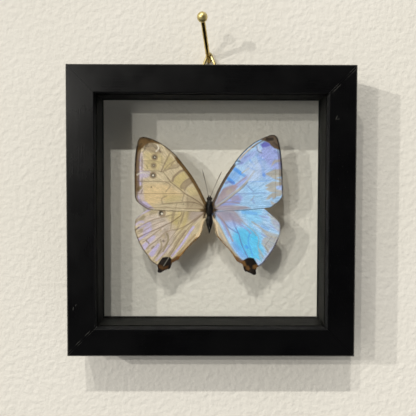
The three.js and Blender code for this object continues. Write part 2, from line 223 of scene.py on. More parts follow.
def in_opening(m, place):
    """One on the sides of the frame's opening, which are rougher, and nought elsewhere."""
    x, _, z = m.split(place)
    level = m.minus(z, MIDDLE_Z * MM)
    return m.times(m.within(x, OPENING_HALF_WIDTH * MM), m.within(level, OPENING_HALF_HEIGHT * MM))


def mitre_wear(m, place):
    """A broken pale hairline along the upper right and lower left mitres."""
    x, _, z = m.split(place)
    across = m.minus(x, z)
    upper = m.math("ABSOLUTE", m.minus(across, UPPER_RIGHT_MITRE * MM))
    lower = m.math("ABSOLUTE", m.minus(across, LOWER_LEFT_MITRE * MM))
    near = m.between(m.math("MINIMUM", upper, lower), 0.00005, 0.0002, 1.0, 0.0)
    broken = m.between(m.noise(place, 260.0, 4.0), 0.42, 0.62)
    return m.times(near, broken)


# Scratches on the frame's face: middle x and z, half length and half width, and slant.
SCRATCHES = [
    (64.3, 124.3, 1.1, 0.12, 70),
    (65.2, 123.6, 0.5, 0.1, 20),
    (-71.6, 25.2, 0.8, 0.12, 80),
    (-70.2, 27.0, 0.5, 0.1, 60),
]


def scratches(m, place):
    x, _, z = m.split(place)
    marks = 0.0
    for at_x, at_z, half_length, half_width, slant in SCRATCHES:
        dx, dz = m.minus(x, at_x * MM), m.minus(z, at_z * MM)
        c, s = cos(radians(slant)), sin(radians(slant))
        along = m.plus(m.times(dx, c), m.times(dz, s))
        across = m.minus(m.times(dz, c), m.times(dx, s))
        mark = m.times(m.within(along, half_length * MM), m.within(across, half_width * MM))
        marks = m.math("MAXIMUM", mark, marks)
    return m.times(marks, SCRATCH_STRENGTH)


def black_stain(name, along):
    """Matte black stain on the spacers and the strips behind the glass."""
    m = material(name)
    place = m.place()
    grain = grain_along(m, place, along, 1800.0, 90.0, 4.0)
    colour = m.mix(grain, srgb(4, 4, 3), srgb(16, 16, 14))
    return m.surface(m.principled(
        Base_Color=colour, Roughness=m.between(grain, 0.2, 0.8, 0.5, 0.7),
        Specular_IOR_Level=0.05, Normal=m.bump(grain, 0.00005),
    ))


def pane_glass():
    """Clear glass. Light that falls through it is let through straight, so it isn't lost."""
    m = material("pane_glass")
    smear = m.between(m.noise(m.place(), 55.0, 4.0), 0.55, 0.85, 0.0, 0.02)
    glass = m.principled(
        Base_Color=srgb(254, 255, 254), Roughness=smear, IOR=1.5, Transmission_Weight=1.0,
    )
    path = m.add("ShaderNodeLightPath")
    straight = m.math("MAXIMUM", path.outputs["Is Shadow Ray"], path.outputs["Is Diffuse Ray"])
    clear = m.add("ShaderNodeBsdfTransparent", {"Color": srgb(255, 255, 255)})
    return m.surface(m.either(straight, glass, clear))


def brass(name, light, dark, gloss):
    """Plated brass with fine draw lines and a few dull spots."""
    m = material(name)
    place = m.place()
    tarnish = m.noise(place, 420.0, 4.0)
    lines = m.noise(m.stretched(place, (9000.0, 9000.0, 900.0)), 1.0)
    return m.surface(m.principled(
        Base_Color=m.mix(m.between(tarnish, 0.4, 0.7), light, dark), Metallic=1.0,
        Roughness=m.between(tarnish, 0.3, 0.7, gloss, gloss + 0.12),
        Normal=m.bump(lines, 0.00001, 0.5),
    ))


def clear_glue():
    m = material("clear_glue")
    haze = m.noise(m.place(), 900.0, 3.0)
    return m.surface(m.principled(
        Base_Color=m.mix(haze, srgb(238, 230, 205), srgb(250, 246, 232)),
        Roughness=m.between(haze, 0.3, 0.7, 0.12, 0.3), IOR=1.48, Transmission_Weight=0.85,
    ))


def dress_frame():
    across, upright = 0, 2
    paint = {axis: black_paint(f"black_paint_{axis}", axis) for axis in (across, upright)}
    stain = {axis: black_stain(f"black_stain_{axis}", axis) for axis in (across, upright)}
    for side, axis in {"bottom": across, "top": across, "left": upright, "right": upright}.items():
        put_on(f"rail_{side}", paint[axis])
        put_on(f"spacer_{side}", stain[axis])
        put_on(f"back_strip_{side}", stain[axis])
    glass = pane_glass()
    put_on("glass_front", glass)
    put_on("glass_back", glass)
    metal = brass("brass", srgb(218, 200, 142), srgb(170, 148, 98), 0.28)
    for node in ("hanger_strap", "hanger_screw", "hanger_ring"):
        put_on(node, metal)
    smooth_by_angle(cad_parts["hanger_ring"])
    smooth_by_angle(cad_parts["glue_dab"])
    put_on("glue_dab", clear_glue())


def put_on(node, look):
    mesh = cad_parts[node].data
    mesh.materials.clear()
    mesh.materials.append(look)


def smooth_by_angle(piece, limit=50):
    piece.data.shade_smooth()
    piece.data.set_sharp_from_angle(angle=radians(limit))


# ---------------------------------------------------------------- the wings' markings

# The markings are drawn on a sheet seen from the front, with x to the right, y down and 1.827
# units to the millimetre. The wings' roots are either side of the point SHEET_BODY.
SHEET_SCALE = 1.827
SHEET_BODY = (209.4, 209.9)


def rows_of(table):
    """The rows of a table. A line that begins with spaces continues the row before it."""
    return [row.split() for row in table.strip().replace("\n ", " ").splitlines()]


def path_of(words):
    return [tuple(float(number) for number in word.split(",")) for word in words]


def marks_of(table):
    """Marks, each a colour, a kind, a strength, a size and its points.

    A row of two words gives the colour and the kind of the marks below it. The size is the
    width of a line, the softness of a patch's edge, or the depth of an edging, which follows
    the wing's margin inside the window that its points enclose.
    """
    marks = []
    for row in rows_of(table):
        if "," in row[-1]:
            strength, size, *points = row
            marks.append((colour_name, kind, float(strength), float(size), path_of(points)))
        else:
            colour_name, kind = row
    return marks


def veins_of(table):
    """Veins on a left wing, each how far it stands out, and its path on the sheet."""
    return [(float(height), path_of(path)) for height, *path in rows_of(table)]


FORE_LEFT_MARKS = marks_of("""
warm patch
.8 8 145,184 168,184 183,195 162,201 150,207 141,199
olive patch
.8 5 172,182 176,175 184,171 188,177 183,184 182,190
.55 5 145,153 158,152 164,158 160,170 146,170
.5 4 164,195 182,195 181,201 165,203
.6 3 168,155 176,161 170,168 165,170 163,168
.5 3 186,188 196,186 199,196 190,196
violet patch
.4 3 138.5,155 143,152 144,168 143,186 145,200 150,208 141,204 137,198 138,180
moss patch
.45 2.5 134,152 139,152 139.5,170 138.5,196 134,196
violet patch
.6 3 138,171 150,171.5 151,175.5 147,178 138,178
.9 2 141,200 147,202 154,208.5 147,208 139,202
taupe patch
.6 3 143,149 147,146 157,148 163,153 157,155 150,152
.45 6 186,198 199,192 206,204 204,210 186,209
.65 1.5 190,178.8 192.5,181.5 189.5,184 186.5,186.8 184.5,190 181,188 181.4,185.5 184.5,182 187.5,179.5
.5 2 166,170 171,165 178,163 180,166 172,168.5
taupe line
.85 2.2 184,170 180,171.5 176.5,174.5 173.8,177.2 172.6,180.8
.8 1.3 190.5,178.2 187,179.5 183,182.8 180.8,186 181.2,188.6
.7 1.6 192.6,181.2 190,183.8 186.8,186.3 184.6,190.2
.7 1.2 171.2,165.2 173,162.6 175.6,160.8 178.2,163
.6 1.2 179.8,165.6 176,168 170,168.8 165,170.8
.75 1.4 161.5,171.5 163.5,166.5 166.5,160.5 170,153.5
.6 1.1 163.2,172.3 166,167.8 170,163.8 174.8,160.6
.35 1 162.5,166 162,158 163,152
.6 1.3 165.8,191.6 168.6,188.3 170.2,186 169.3,183.8 166,182.3
.6 1.3 162.6,203.8 161.8,199.6 163.3,197.4 166.8,195.8
.5 1.4 183.8,194.6 182.2,201
.35 2 187.4,195 187.6,206
.35 1.4 177,203.4 175.4,208
.35 1.2 194,202.6 190.8,207
.9 6.6 155,157.5
.75 6 154,165.6
.9 7 153.4,175.4
moss patch
.8 2 137,188.5 139.5,186.3 143,185.8 142,189 138.5,191.6
moss line
.5 1.3 147.2,165.6 147.9,168.4
.4 1.6 140.5,199 142,201.5
umber line
.6 1.1 204,206.5 199,202 193,198 185,193.5 178,187.5 171,182 168,178
.4 1 168,178 165.5,174.5 162,171.5 152,170.9 143,171
.45 .9 171,182 165,181.6 155,181.2 143,181.3 136.5,181.3
.42 .9 185,193.5 175,193.3 160,193.4 146,193.3 136.5,193.6
.5 1.1 204,207.5 198,203.5 190,201.8 180,202.3 172,203 163.5,203.8
.4 1.1 203,209 195,208.6 180,208 165,207.4 150,207.2
.35 .9 204,204 199,194.5 193,184.5 187,175.5 181,166 177,159.5 170,152.5 165,148.5
.6 .9 180,163.6 175,157 169,150.6 162.5,145 156,141.4
.3 .9 165,163.5 155,161.2 146,160.8 137,161.2
umber edge
.95 2.2 130,150 146,150 144,186 130,186
.78 4.8 130,146 146,146 146,178 142,192 130,192
.5 2.8 130,186 146,186 152,208 144,214 130,214
umber line
.8 2.4 178,162 180.6,163.4
gold edge
.95 3.2 220,214 202,213 171,163 184,144 222,190
gold patch
.95 1.6 133,157 137,154 140,150.5 143.5,148.4 145.5,145.8 150,143.6 155,143.6 160,144.8 158,139 152,136
    146,132 137,134 132,144
dusk line
.5 3.4 147,146.4 150.5,145.4 154.5,146 156.6,148
.6 1.6 160,148.2 159.6,150.6 161,152.2
.4 1.5 146,149 143.6,152.4
.5 1.4 142.8,190 141.6,193
.45 1.4 142.4,157 142.6,163 142.4,170
.35 1.3 142.6,178 142.2,186
violet line
.7 1.8 139.6,159.4 140.6,161
.7 1.8 139.4,166.6 140.6,168
.8 2.4 138.6,179.4 140.8,184
.8 2.2 138.4,196 140.2,200
dusk edge
.7 .8 130,186 142,186 150,208 142,216 130,216
dark line
.4 1.7 145,149.2 145.8,146.6 148,144.6
.5 2.6 139.5,139.5 146,138.6 150,140.5
.4 2 139,147 142,144.5
dark edge
.9 .8 182,166 176,166 144,144 140,132 160,130 190,155
.6 .7 220,214 202,213 171,163 184,144 222,190
.85 1.6 130,136 140,140 141,173 130,173
.8 1 130,170 141,170 141,200 130,200
dark line
.85 3.6 155,157.5
.6 2.8 154,165.6
.85 3.8 153.4,175.4
.75 1.5 151.6,187
.5 1.3 183.5,204
pale line
.95 1.3 156.4,151.6 158.3,149.6 158.9,147.8 157.8,145.6
.55 1.8 138,174.8 141,173.2 145,172.6 149,173.8
.95 1.4 155,157.5
.6 1.1 154,165.6
1 1.9 153.4,175.4
""")

HIND_LEFT_MARKS = marks_of("""
olive patch
.5 6 168,212 192,210 188,222 180,230 170,230
olive line
.7 2.4 188,210.5 187,217 184.5,223 182,229
.6 2 179.6,210 178.4,216 176,219
olive patch
.7 2 171,223 177.5,219 178,226 174,230 170.5,228
.8 1.5 162,235 164.5,233.8 165.5,237 163.5,239 161.5,238
.9 1.2 159,230.6 161,229 162.4,230.6 160.4,232
cream patch
.9 2 203,215 206,230 202,237 196,241 194.5,237 199,230 201,222
amber line
.9 4.2 197,239.5 192,244.5 187.5,249 183,253.6 178,257
.5 2 195,235 190,240.5 184,247.5 178,254
violet line
.85 2.4 136.6,217 142,213.2 149.5,209.6
.7 2.2 136.4,224.4 140.5,221.4 143.5,221.8
.85 2 138.6,227.8 144,225 149.5,222.6
violet patch
.7 2 144,228 151,222 152,227 148,233 143.5,236 143,232
violet line
.9 2.4 138.8,239.5 143.4,236.2 147.6,232.8 151,229
violet patch
.85 1.4 147,239.6 153.5,235 156,236 154,239.6 149.4,243.6
.95 1.4 142,245 146.5,241.6 148.6,244 146.4,249 144.4,250
1 1.4 148.6,254.2 153,248.4 158.4,243 159.8,244.4 157,249.6 154,255.4 151.8,257
violet line
.6 2.2 156.4,260 161.5,255 166,250.4 169,246
.95 2.4 193.4,227 190,231.8 186,238 181.5,244.6 177,250.2 172,256
violet patch
.22 6 138,216 160,214 176,226 172,250 158,258 140,240
.3 6 190,209 205,209 204,214 195,222 188,219
taupe patch
.45 6 188,208 205,208 204,214 195,222 187,220
.35 3 164,228 170,231 168,240 160,254 156,252 164,243
taupe line
.55 2.8 174.6,209 173.2,215 172.2,221
.55 1.6 183.6,209 182.6,216 180.5,222
.5 1.2 171.4,222 170.6,229
.5 1.2 178.6,222 177,230
.6 1.2 139,227.2 144,224 150,220.8 156,218.6 163,217 172,214.5
.5 1 139,233.6 144,230.8 150,227 157,223.6 165,220.5
.6 1.2 143,242 149,237.5 153,234.5 157,231.5 161,228.5
.65 1.3 146.6,248.4 151,244.5 155,241.5 159,238 163,234 167,231.6 172,230 178,229 184,226.5 190,223
    197,217.5 204,212.5
.5 1.1 153.6,259.6 158,253.5 162,249 166,244 170,239 174,233.5 178,228 181,222 183.5,215 184.5,211
.5 1.4 158.6,260.6 164,254 168,248.5 172,243 176,237 180,231.5 186,226 193,221 200,216.5
.6 2.4 167.5,257 172.4,249.6 176,243.4 180,237.4 185,231
.4 1.2 171,257 175.5,250.5 180,244 184,238 188,231.5 192,226
.8 8 161.8,213.2
.4 2 150,214 157,211.6
moss patch
.6 1.6 138.4,219 143.6,214.6 146,216 144,219.6 139.4,221
.5 1.6 137.6,231.4 141.6,228.2 144,228.6 142,231.8
moss line
.6 1.8 166.8,233.6 168.2,237 167.8,241 165.6,246.4 163,251.4
.5 1.6 160.4,239.4 161.6,245 160.4,250 157,256
umber line
.6 1.1 138,237.4 142,235.5 147,233 152,231 157,228.8 163,226 168,223.5 172.5,221.4 177,218 180.5,215.5
    181.5,212.5
.45 1 165.5,266 167.5,261 170,256 173.5,250 177,244 181,238 185.5,231.5 190,226 196,220 203,214
rust patch
.95 1.5 171.4,259.4 176,256.4 180.6,256 181,260 176,264 171,264
dusk line
.75 1.3 134.8,230.8 137.4,228.3 139,227
.5 1.2 135.4,222.4 138,219.6
.6 1.3 146.4,240.4 149,243.2
.55 1.6 151.8,248.2 153.6,246.4
.6 2.6 163.4,241
dusk edge
.8 1 130,232 144,236 164,262 156,270 130,250
.45 .8 130,212 141,212 142,234 130,236
dark patch
1 1.2 160.4,260 162.4,257.4 166,256.8 170,257.2 172,259.6 171.8,263 174,268 170,275 154,277 155,268
    158,263.6
dark line
.9 4.2 161,213
.7 2.2 173,260.6 178.6,259.4
rust patch
.55 1.6 158.4,264.6 161.4,265 163,267 166,266.4 168.4,265.4 167.6,268.6 163,269.8 158.6,268
pale line
1 2.2 161.8,213.6
.22 .7 163.6,265.8 166,262 168.8,257.6
.85 1.6 163.4,272 166,270.8 168.4,270
.4 1.6 157.6,216.4 158.6,211.6
""")

FORE_RIGHT_MARKS = marks_of("""
haze patch
.6 6 244,166 256,158 262,166 258,180 248,182
cyan patch
.12 6 244,204 262,199 270,204 262,210 242,210
.15 8 246,184 266,190 262,200 246,200
azure line
.75 3.6 234.4,168.8 237.5,170.8 240.3,172.8
.55 3.2 240,173 245,176
.8 3.6 228,178.4 231,181 233.4,183
azure patch
.4 4 226,178 236,168 242,174 234,184
azure line
.7 1.8 247.5,166.2 250.5,167.8 254.4,170
.55 2 249.6,160 252,163 254.4,166
.9 3.6 263.6,174.6
.4 3 257.5,156 258.5,160 261,166
.3 3 262,168 264,178
.45 1.1 247,181.6 258,181.2 268,180.4
.6 4.8 262,157.5
violet patch
.75 5 262,149 275,149 281,160 281,172 272,170 264,160 258,155
.6 4 240,158 250,152 258,149 254,156 246,162 240,166
.8 3 262,146 270,145 275,148.5 268,150.6 261,150
.8 3 219,204 229,198 238,193 243,197 240,203 230,206 216,208
.7 2 232,187 240,180 247,174 250,176 243,184 236,189
.5 3 220,190 230,184 238,184 230,190 222,196
.5 3 275,183 282,184 282,192 277,190
.35 8 256,152 272,152 270,180 258,176
indigo patch
.95 2 259.6,144.6 264,141.6 268,142.8 270.4,145.6 266,147.2 261.8,147.8
indigo line
.4 2.4 274,151 278,155 280,164
.5 2.4 225.6,183 229,181.6 233,182.6
.45 2 238,164 242,162.6
.3 1.8 244.4,158 249,155
.35 1.1 236,193.3 252,193.2 266,192.4
.4 1.4 246.4,184.4 250,188.3 253.6,191.6
.35 2 252.4,199.4 254,202.6
mauve patch
.9 2.5 213,207 218,196 223,188.6 227,186.6 233,184.6 238,185.6 235,191 228,196.6 219,203.6
mauve line
.6 1.5 232,187.6 239,182 246.4,176.8
.65 1.3 216,206.8 222,203 230,201.8 239,203
mauve patch
.5 2 229,197 238,195 241,200 232,201
.8 2 213,206 230,205 246,206 251,208 230,211 213,211
mauve line
.4 1.2 251,200 254,196
beige patch
.5 2 225,191 230,188 233,189 228,195
.8 1.2 272,161.6 274,159.8 281,159 281,161.6 275,162.6 272,165 270.4,166.8
.85 1.2 264.6,174 269,171.5 273,169.5 282,168.6 282,176 275,177.5 282,179 282,181.4 274,179 269,176
.85 1.2 264.4,185.8 268,183.3 272,181.2 282,181.5 282,184.5 275,186 276,189 282,190 282,193 270,191.5
    265,188.8 268,187
.85 1.2 265.4,199.2 268.5,195 272,192.5 282,192.5 280,195.5 276,196 273,199 271.5,196.5 268.5,198.8
.75 1.5 270.4,200.4 274,202.4 279,203 274,206 271,204
beige line
.8 1.4 241.8,172.8 245,170.6 248.6,168
.85 2 215,207 222,202.8 229,197.5 236,191.5 242,186.5 246,182 249,178 251.5,174.5 253.8,171
cream line
.6 1.5 239.7,159.1 243.6,154.1 248.1,149.9 253.1,146.1 257.6,143.1
moss line
.4 1 275,168 275,180 274.8,198
.4 .9 266,173.6 280,174
umber line
.5 .9 217,207.2 229,198.8 236.5,192.7 243,187.2 247.4,182.3
.3 .8 240.6,157.6 249,149.8 256,144.8
umber edge
.5 3.4 274,146 290,146 290,186 276,186
gold edge
.95 2.8 199,214 216,212 242,171 231,160 199,190
gold line
.7 1.4 252,147.4 257,143.8 262,141.2
gold patch
.95 1.5 262,140.8 265,141.8 268.4,143.4 270.6,146.2 273.6,148.4 279,150.2 284,151 283,140 277,131 266,131
    255,139
dusk line
.5 1.3 256.5,146.6 256.8,149.8 258.5,152 261,152.9
dusk edge
.5 .8 276,188 286,188 284,206 270,212 270,204
dark line
.6 1.8 236.6,160.4 239.6,161.4
mauve line
.5 1.6 239,159 246,152 253,146.6
dark line
.75 3.2 266.6,139.4 271.4,139.4
.4 2 273,143 277,146
dark edge
.9 .8 236,166 226,160 256,130 288,126 284,142 262,144
.6 .7 199,214 216,212 248,163 236,144 199,190
.85 1.5 274,134 288,134 288,176 277,176
.75 1 277,174 288,174 288,192 277,192
haze line
.9 1.6 262,157.5
1 1.7 257.7,146.2 258.1,149 260.2,151.2
""")

HIND_RIGHT_MARKS = marks_of("""
cyan patch
.85 8 236,228 250,226 260,234 264,250 262,262 250,260 240,250 232,238
.4 5 240,209 262,209 262,222 250,224
.9 2 252,236.5 257,236 257,239.5 252,239.5
azure patch
.55 6 231,238 240,246 248,258 240,258 234,248
azure line
.8 2.8 246.3,246.2 247.5,247.5
.6 1.5 250,233.5 248.6,238 248.8,243 250.5,248 253,256
.4 3.4 243,212 250,212.5 256,213.5
.35 3 262,226 268,229
violet patch
.5 5 216,210 234,214 243,225 232,227 222,223
violet line
.7 2 222,222 226,229 229,236
.6 1.8 259.5,215.5 264,216.5 268,217
.6 2 240,224 247,229 251,233
indigo line
.6 1.3 216,213.5 222,220 228,226.5 233,230 238,233
.65 1.3 236,228 239,234 240.5,240 243,247 246,253 249,259.4
.35 2.2 230,214 233,220 236,228
mauve patch
.7 5 212,208 232,208 238,213 243,220 240,224 232,221 224,222 217,217
mauve line
.45 1.5 232,209.5 236,214 240,218.5 245,223.5 250,227.5 254,231 257,235
.75 1.8 218.6,215 224,222 228,230 231,237 233,241
.4 1.2 258,235 259,240 258,246
beige line
.65 1.5 252,221.5 258,225.5 264,230 268,232
beige patch
.68 2.5 262,228.5 268,231.5 276,233.5 281,234 279,243 273,248 268,253 264.5,247 262,241 264,237.5 267,236
    262,231
.5 2.5 269,211.5 275,212 281,219 283,228 280,233 275,228 271,222 270,216
.65 1.5 258,246 261,250 264,256 264,260 261,256 258.5,251
beige line
.5 1.2 259,254 262,261
violet patch
.6 1.5 273,219 278,222 280,226 273,223.4
violet line
.6 1.5 270,225 276,228.5 280,230.6
.5 1.8 262,234 271,238 280,240
.5 1.8 263,240 270,246 274,249
beige line
.6 1.3 266,234 274,237 281,238
.6 1.3 262,243 268,249 272,253
.6 1.5 268,214 276,219 282,224
haze patch
.7 2 268,210.5 273,211.5 271,215 268,213
.75 2 256,258 262,262 264,257 268,253 270,249 273,246 277,243 275,252 266,262 259,268 256,262
cream patch
.95 1.5 211,215 214.5,217 217.5,226 219,236 223,241 217,242 211,232
beige patch
.9 1.5 215,217 219.4,224 224.4,234 229,243 235,252 241,258.4 236,260 226,250 218,240
cream line
.5 2 217.5,223 221,232 226,241
tan patch
.4 1.5 216.5,220 220.5,226 225,235 229,243 234,251 240,258 236,260 228,251 222,241 219,232
amber line
.95 4.6 217,238 221.8,243 227,249 232,254.6 236,260
moss line
.4 1.1 272,236 268,241 265,246
.45 1.3 266,247 268.4,252
.35 1.1 276,236 274,241
dusk edge
.85 1.2 254,262 262,252 272,238 288,238 272,272 256,272
.35 .7 266,206 288,206 288,240 272,240
rust patch
.9 1.6 232,257 237,256.4 245,261 247,266 240,267 233,264
dark patch
.75 1.8 233,259.4 238,259 245,262 246,266 240,265.4 234,263
1 1.2 243,260.4 247,258 250,257.3 254,258 256.6,262 260,268 260,278 248,278 242,270 241,264
rust patch
.8 1.8 246,266.6 248.5,265.4 250.6,268.6 248.5,270.6 246.4,269
.8 1.8 253,265.6 257,264 259.5,267.6 256,269 253,268.4
violet line
.5 .9 248,258 250,262 251.5,266
cream line
.95 1.6 239,264 243.4,266
.95 1.8 246.6,273 250,275 252,276
""")

FORE_VEINS = veins_of("""
.1 205,206 199,202 193,198 185,193.5 178,187.5 171,182 168,178 165.5,174.5 162,171.5 152,170.9 137,171.4
.07 171,182 165,181.6 155,181.2 136,181.3
.07 185,193.5 175,193.3 160,193.4 136,193.6
.08 205,207.5 198,203.5 190,201.8 180,202.3 163.5,203.8 143,203
.06 203,209 195,208.6 180,208 150,207.2
.1 206,204 199,194.5 193,184.5 187,175.5 181,166 177,159.5 170,152.5 160,145 148,139
.07 187,175.5 180,169 172,165 165,163.5 155,161.2 137,161.2
.06 172,165 163,157 152,150 139,146
.05 172,165 164,169 162,171.5
.16 205,203 200.5,191 193,177.5 184,165 174,153.5 163,144.5 152.5,139.3
""")
HIND_VEINS = veins_of("""
.09 204,210.5 195,211 186,211.5 181.5,214 177,218 172.5,221.4 163,226 152,231 138,237.4
.07 181.5,214 172,214.5 163,217 150,220.8 135,230.6
.07 172.5,221.4 165,228 157,231.5 149,237.5 142,243
.09 204,212.5 197,217.5 190,223 184,226.5 172,231 163,235 155,241.5 146,249
.07 184,226.5 178,232 170,240 162,249 152,260.5
.08 203,214 196,220 185.5,231.5 177,244 170,256 162,271
.07 204,216 197,224 188,236 180,247 173,258
.08 204,209.5 190,204 178,201.5 165,203.5 150,208 137,217
""")

# The colours of each side in the order they lie on each other, on a ground of two tones. They are the
# wings' own colours, except the right wings' blue tones and the violet of the upper sides, which are
# painted sheen.
BEIGE_GROUND = (srgb(197, 180, 148), srgb(220, 203, 169))
BEIGE_PIGMENTS_AND_SHEEN = {
    "warm": srgb(226, 198, 150), "olive": srgb(202, 183, 124), "cream": srgb(232, 208, 168),
    # The violet here is painted sheen: the scales' pearly violet shimmer, put in as fixed colour.
    "amber": srgb(160, 122, 66), "violet": srgb(200, 188, 226), "taupe": srgb(146, 126, 102),
    "moss": srgb(128, 116, 70), "umber": srgb(98, 72, 44), "gold": srgb(90, 62, 20),
    "dusk": srgb(76, 58, 54), "dark": srgb(16, 10, 6), "rust": srgb(94, 60, 24),
    "pale": srgb(230, 222, 206),
}
# Painted sheen: the right wings' pale blue ground and their cyan, azure, violet, indigo and haze tones are
# the scales' pearly shimmer, which changes with the angle of the light, painted in as fixed colour. The
# left wings' scales are the same, drawn beige without it. The other tones here are the wings' own
# markings.
BLUE_SHEEN_GROUND = (srgb(156, 198, 246), srgb(186, 220, 254))
BLUE_SHEEN_AND_PIGMENTS = {
    "cyan": srgb(84, 204, 255), "azure": srgb(78, 158, 250), "violet": srgb(158, 164, 230),
    "indigo": srgb(98, 98, 188), "mauve": srgb(168, 148, 152), "beige": srgb(182, 174, 158),
    "haze": srgb(196, 212, 244), "tan": srgb(180, 160, 130), "cream": srgb(236, 214, 176),
    "amber": srgb(158, 122, 66), "moss": srgb(128, 122, 104), "umber": srgb(98, 74, 50),
    "gold": srgb(86, 62, 24), "dusk": srgb(74, 58, 78), "dark": srgb(16, 10, 7),
    "rust": srgb(110, 76, 38),
}
UNDERSIDE_GROUND = (srgb(190, 170, 132), srgb(206, 188, 150))
UNDERSIDE_PIGMENTS = {
    **BEIGE_PIGMENTS_AND_SHEEN,
    "violet": srgb(206, 198, 200), "taupe": srgb(138, 104, 66), "moss": srgb(120, 92, 48),
    "umber": srgb(92, 62, 34),
}


# ---------------------------------------------------------------- drawing onto the wings


def smoothed(points, steps):
    """A smooth chain through the points, as a spline that starts and ends on them."""
    given = np.array(points, float)
    if len(given) < 3:
        return given
    padded = np.vstack([given[:1], given, given[-1:]])
    share = np.linspace(0, 1, steps, endpoint=False)[:, None]
    chain = []
    for before, start, end, after in zip(padded, padded[1:], padded[2:], padded[3:]):
        leave, arrive = (end - before) / 2, (after - start) / 2
        cubic = 2 * (start - end) + leave + arrive
        square = 3 * (end - start) - 2 * leave - arrive
        chain.append(((cubic * share + square) * share + leave) * share + start)
    return np.vstack([*chain, given[-1:]])


def evenly(chain, spacing):
    """The same chain with its points an even distance apart."""
    steps = np.linalg.norm(np.diff(chain, axis=0), axis=1)
    along = np.concatenate([[0], np.cumsum(steps)])
    places = np.linspace(0, along[-1], max(2, round(along[-1] / spacing) + 1))
    return np.column_stack([np.interp(places, along, chain[:, axis]) for axis in range(2)])


def distance(places, chain):
    """How far each place is from a chain of points."""
    if len(chain) == 1:
        return np.linalg.norm(places - chain[0], axis=1)
    nearest = np.full(len(places), np.inf)
    for start, end in zip(chain[:-1], chain[1:]):
        span = end - start
        away = places - start
        share = np.clip(away @ span / max(span @ span, 1e-12), 0, 1)
        nearest = np.minimum(nearest, np.linalg.norm(away - share[:, None] * span, axis=1))
    return nearest


def to_ring(places, ring):
    """How far each place is from a closed ring of points."""
    return distance(places, np.vstack([ring, ring[:1]]))


def inside(places, ring):
    """Which places are inside a closed ring of points."""
    x, y = places[:, 0], places[:, 1]
    odd = np.zeros(len(places), bool)
    for (x0, y0), (x1, y1) in zip(ring, np.roll(ring, -1, axis=0)):
        if y0 != y1:
            crosses = (y0 > y) != (y1 > y)
            odd ^= crosses & (x < x0 + (y - y0) * (x1 - x0) / (y1 - y0))
    return odd


def ease(share):
    share = np.clip(share, 0, 1)
    return share * share * (3 - 2 * share)


LINE_SOFTNESS = 0.7
WINDOW_SOFTNESS = 4.0


def cover(kind, size, points, places, margin):
    """How much of each place a mark covers. The margin is each place's distance to the rim."""
    if kind == "line":
        path = smoothed(points, 4)
        return ease((size / 2 + LINE_SOFTNESS / 2 - distance(places, path)) / LINE_SOFTNESS)
    ring = np.array(points, float)
    softness = WINDOW_SOFTNESS if kind == "edge" else size
    away = to_ring(places, ring)
    patch = ease(0.5 + np.where(inside(places, ring), away, -away) / softness)
    if kind == "edge":
        return patch * ease((size + LINE_SOFTNESS / 2 - margin) / LINE_SOFTNESS)
    return patch


def drawn(marks, places, margin):
    """The cover of each colour at each place of the sheet."""
    covers = {}
    for colour_name, kind, strength, size, points in marks:
        low = np.min(points, axis=0) - size - WINDOW_SOFTNESS
        high = np.max(points, axis=0) + size + WINDOW_SOFTNESS
        near = np.all((places > low) & (places < high), axis=1)
        total = covers.setdefault(colour_name, np.zeros(len(places)))
        part = strength * cover(kind, size, points, places[near], margin[near])
        total[near] = 1 - (1 - total[near]) * (1 - part)
    return covers


# ---------------------------------------------------------------- wings

GRID = 0.25
ROW_STEP = 0.866 * GRID
GRID_TO_RIM = 0.6 * GRID
RIM_STEP = 0.28
FRAY = 0.035
FRAY_START = 10
FRAY_EASE = 15
HALF_THICKNESS = 0.05
VEIN_WIDTH = 0.2
MEMBRANE_DIP = 0.12
DIP_REACH = 1.8
WAVE = 0.1
WAVE_STEPS = (0.33, 0.29)
WAVE_STARTS = (0.7, 1.1)
FOREWING_BEND = 0.56
FOREWING_BEND_TOP = 8.0
RAY_LENGTH = 9
RAYS_PER_RADIAN = 22


def rim_of(shape, seed):
    """The wing's outline as an even ring of points, with a slightly frayed margin."""
    chains, start = [], shape["root"]
    for stretch in shape["stretches"]:
        chains.append(evenly(smoothed([start, *stretch], 12), RIM_STEP)[:-1])
        start = stretch[-1]
    chains.append(evenly(np.array([start, shape["root"]], float), RIM_STEP)[:-1])
    ring = np.vstack(chains)
    rough = np.random.default_rng(seed).normal(0, 1, len(ring))
    fray = FRAY * (rough + np.roll(rough, 1)) * ease((ring[:, 0] - FRAY_START) / FRAY_EASE)
    return ring - outwards_of(ring) * np.abs(fray)[:, None]


def outwards_of(ring):
    """The way out of a ring of points, at each of them."""
    along = np.roll(ring, -1, axis=0) - np.roll(ring, 1, axis=0)
    return np.column_stack([-along[:, 1], along[:, 0]]) / np.linalg.norm(along, axis=1)[:, None]


def membrane(ring):
    """The flat wing: its points, and its triangles turned anticlockwise."""
    low, high = ring.min(axis=0), ring.max(axis=0)
    rows = np.arange(low[1], high[1], ROW_STEP)
    columns = np.arange(low[0], high[0], GRID)
    grid = np.array([(x + (i % 2) * GRID / 2, y) for i, y in enumerate(rows) for x in columns])
    grid = grid[inside(grid, ring)]
    grid = grid[to_ring(grid, ring) > GRID_TO_RIM]
    points = np.vstack([ring, grid])
    rim = [(i, (i + 1) % len(ring)) for i in range(len(ring))]
    vectors = [Vector(point) for point in points]
    made = delaunay_2d_cdt(vectors, rim, [], 1, 1e-6)
    flat = np.array([tuple(point) for point in made[0]])
    faces = np.array([tuple(face) for face in made[2]])
    a, b, c = (flat[faces[:, k]] for k in range(3))
    clockwise = (b - a)[:, 0] * (c - a)[:, 1] - (b - a)[:, 1] * (c - a)[:, 0] < 0
    faces[clockwise] = faces[clockwise][:, ::-1]
    return flat, faces


def left_sheet(flat):
    """Where points of a wing are on the sheet when the wing is a left one."""
    return np.array(SHEET_BODY) - SHEET_SCALE * flat


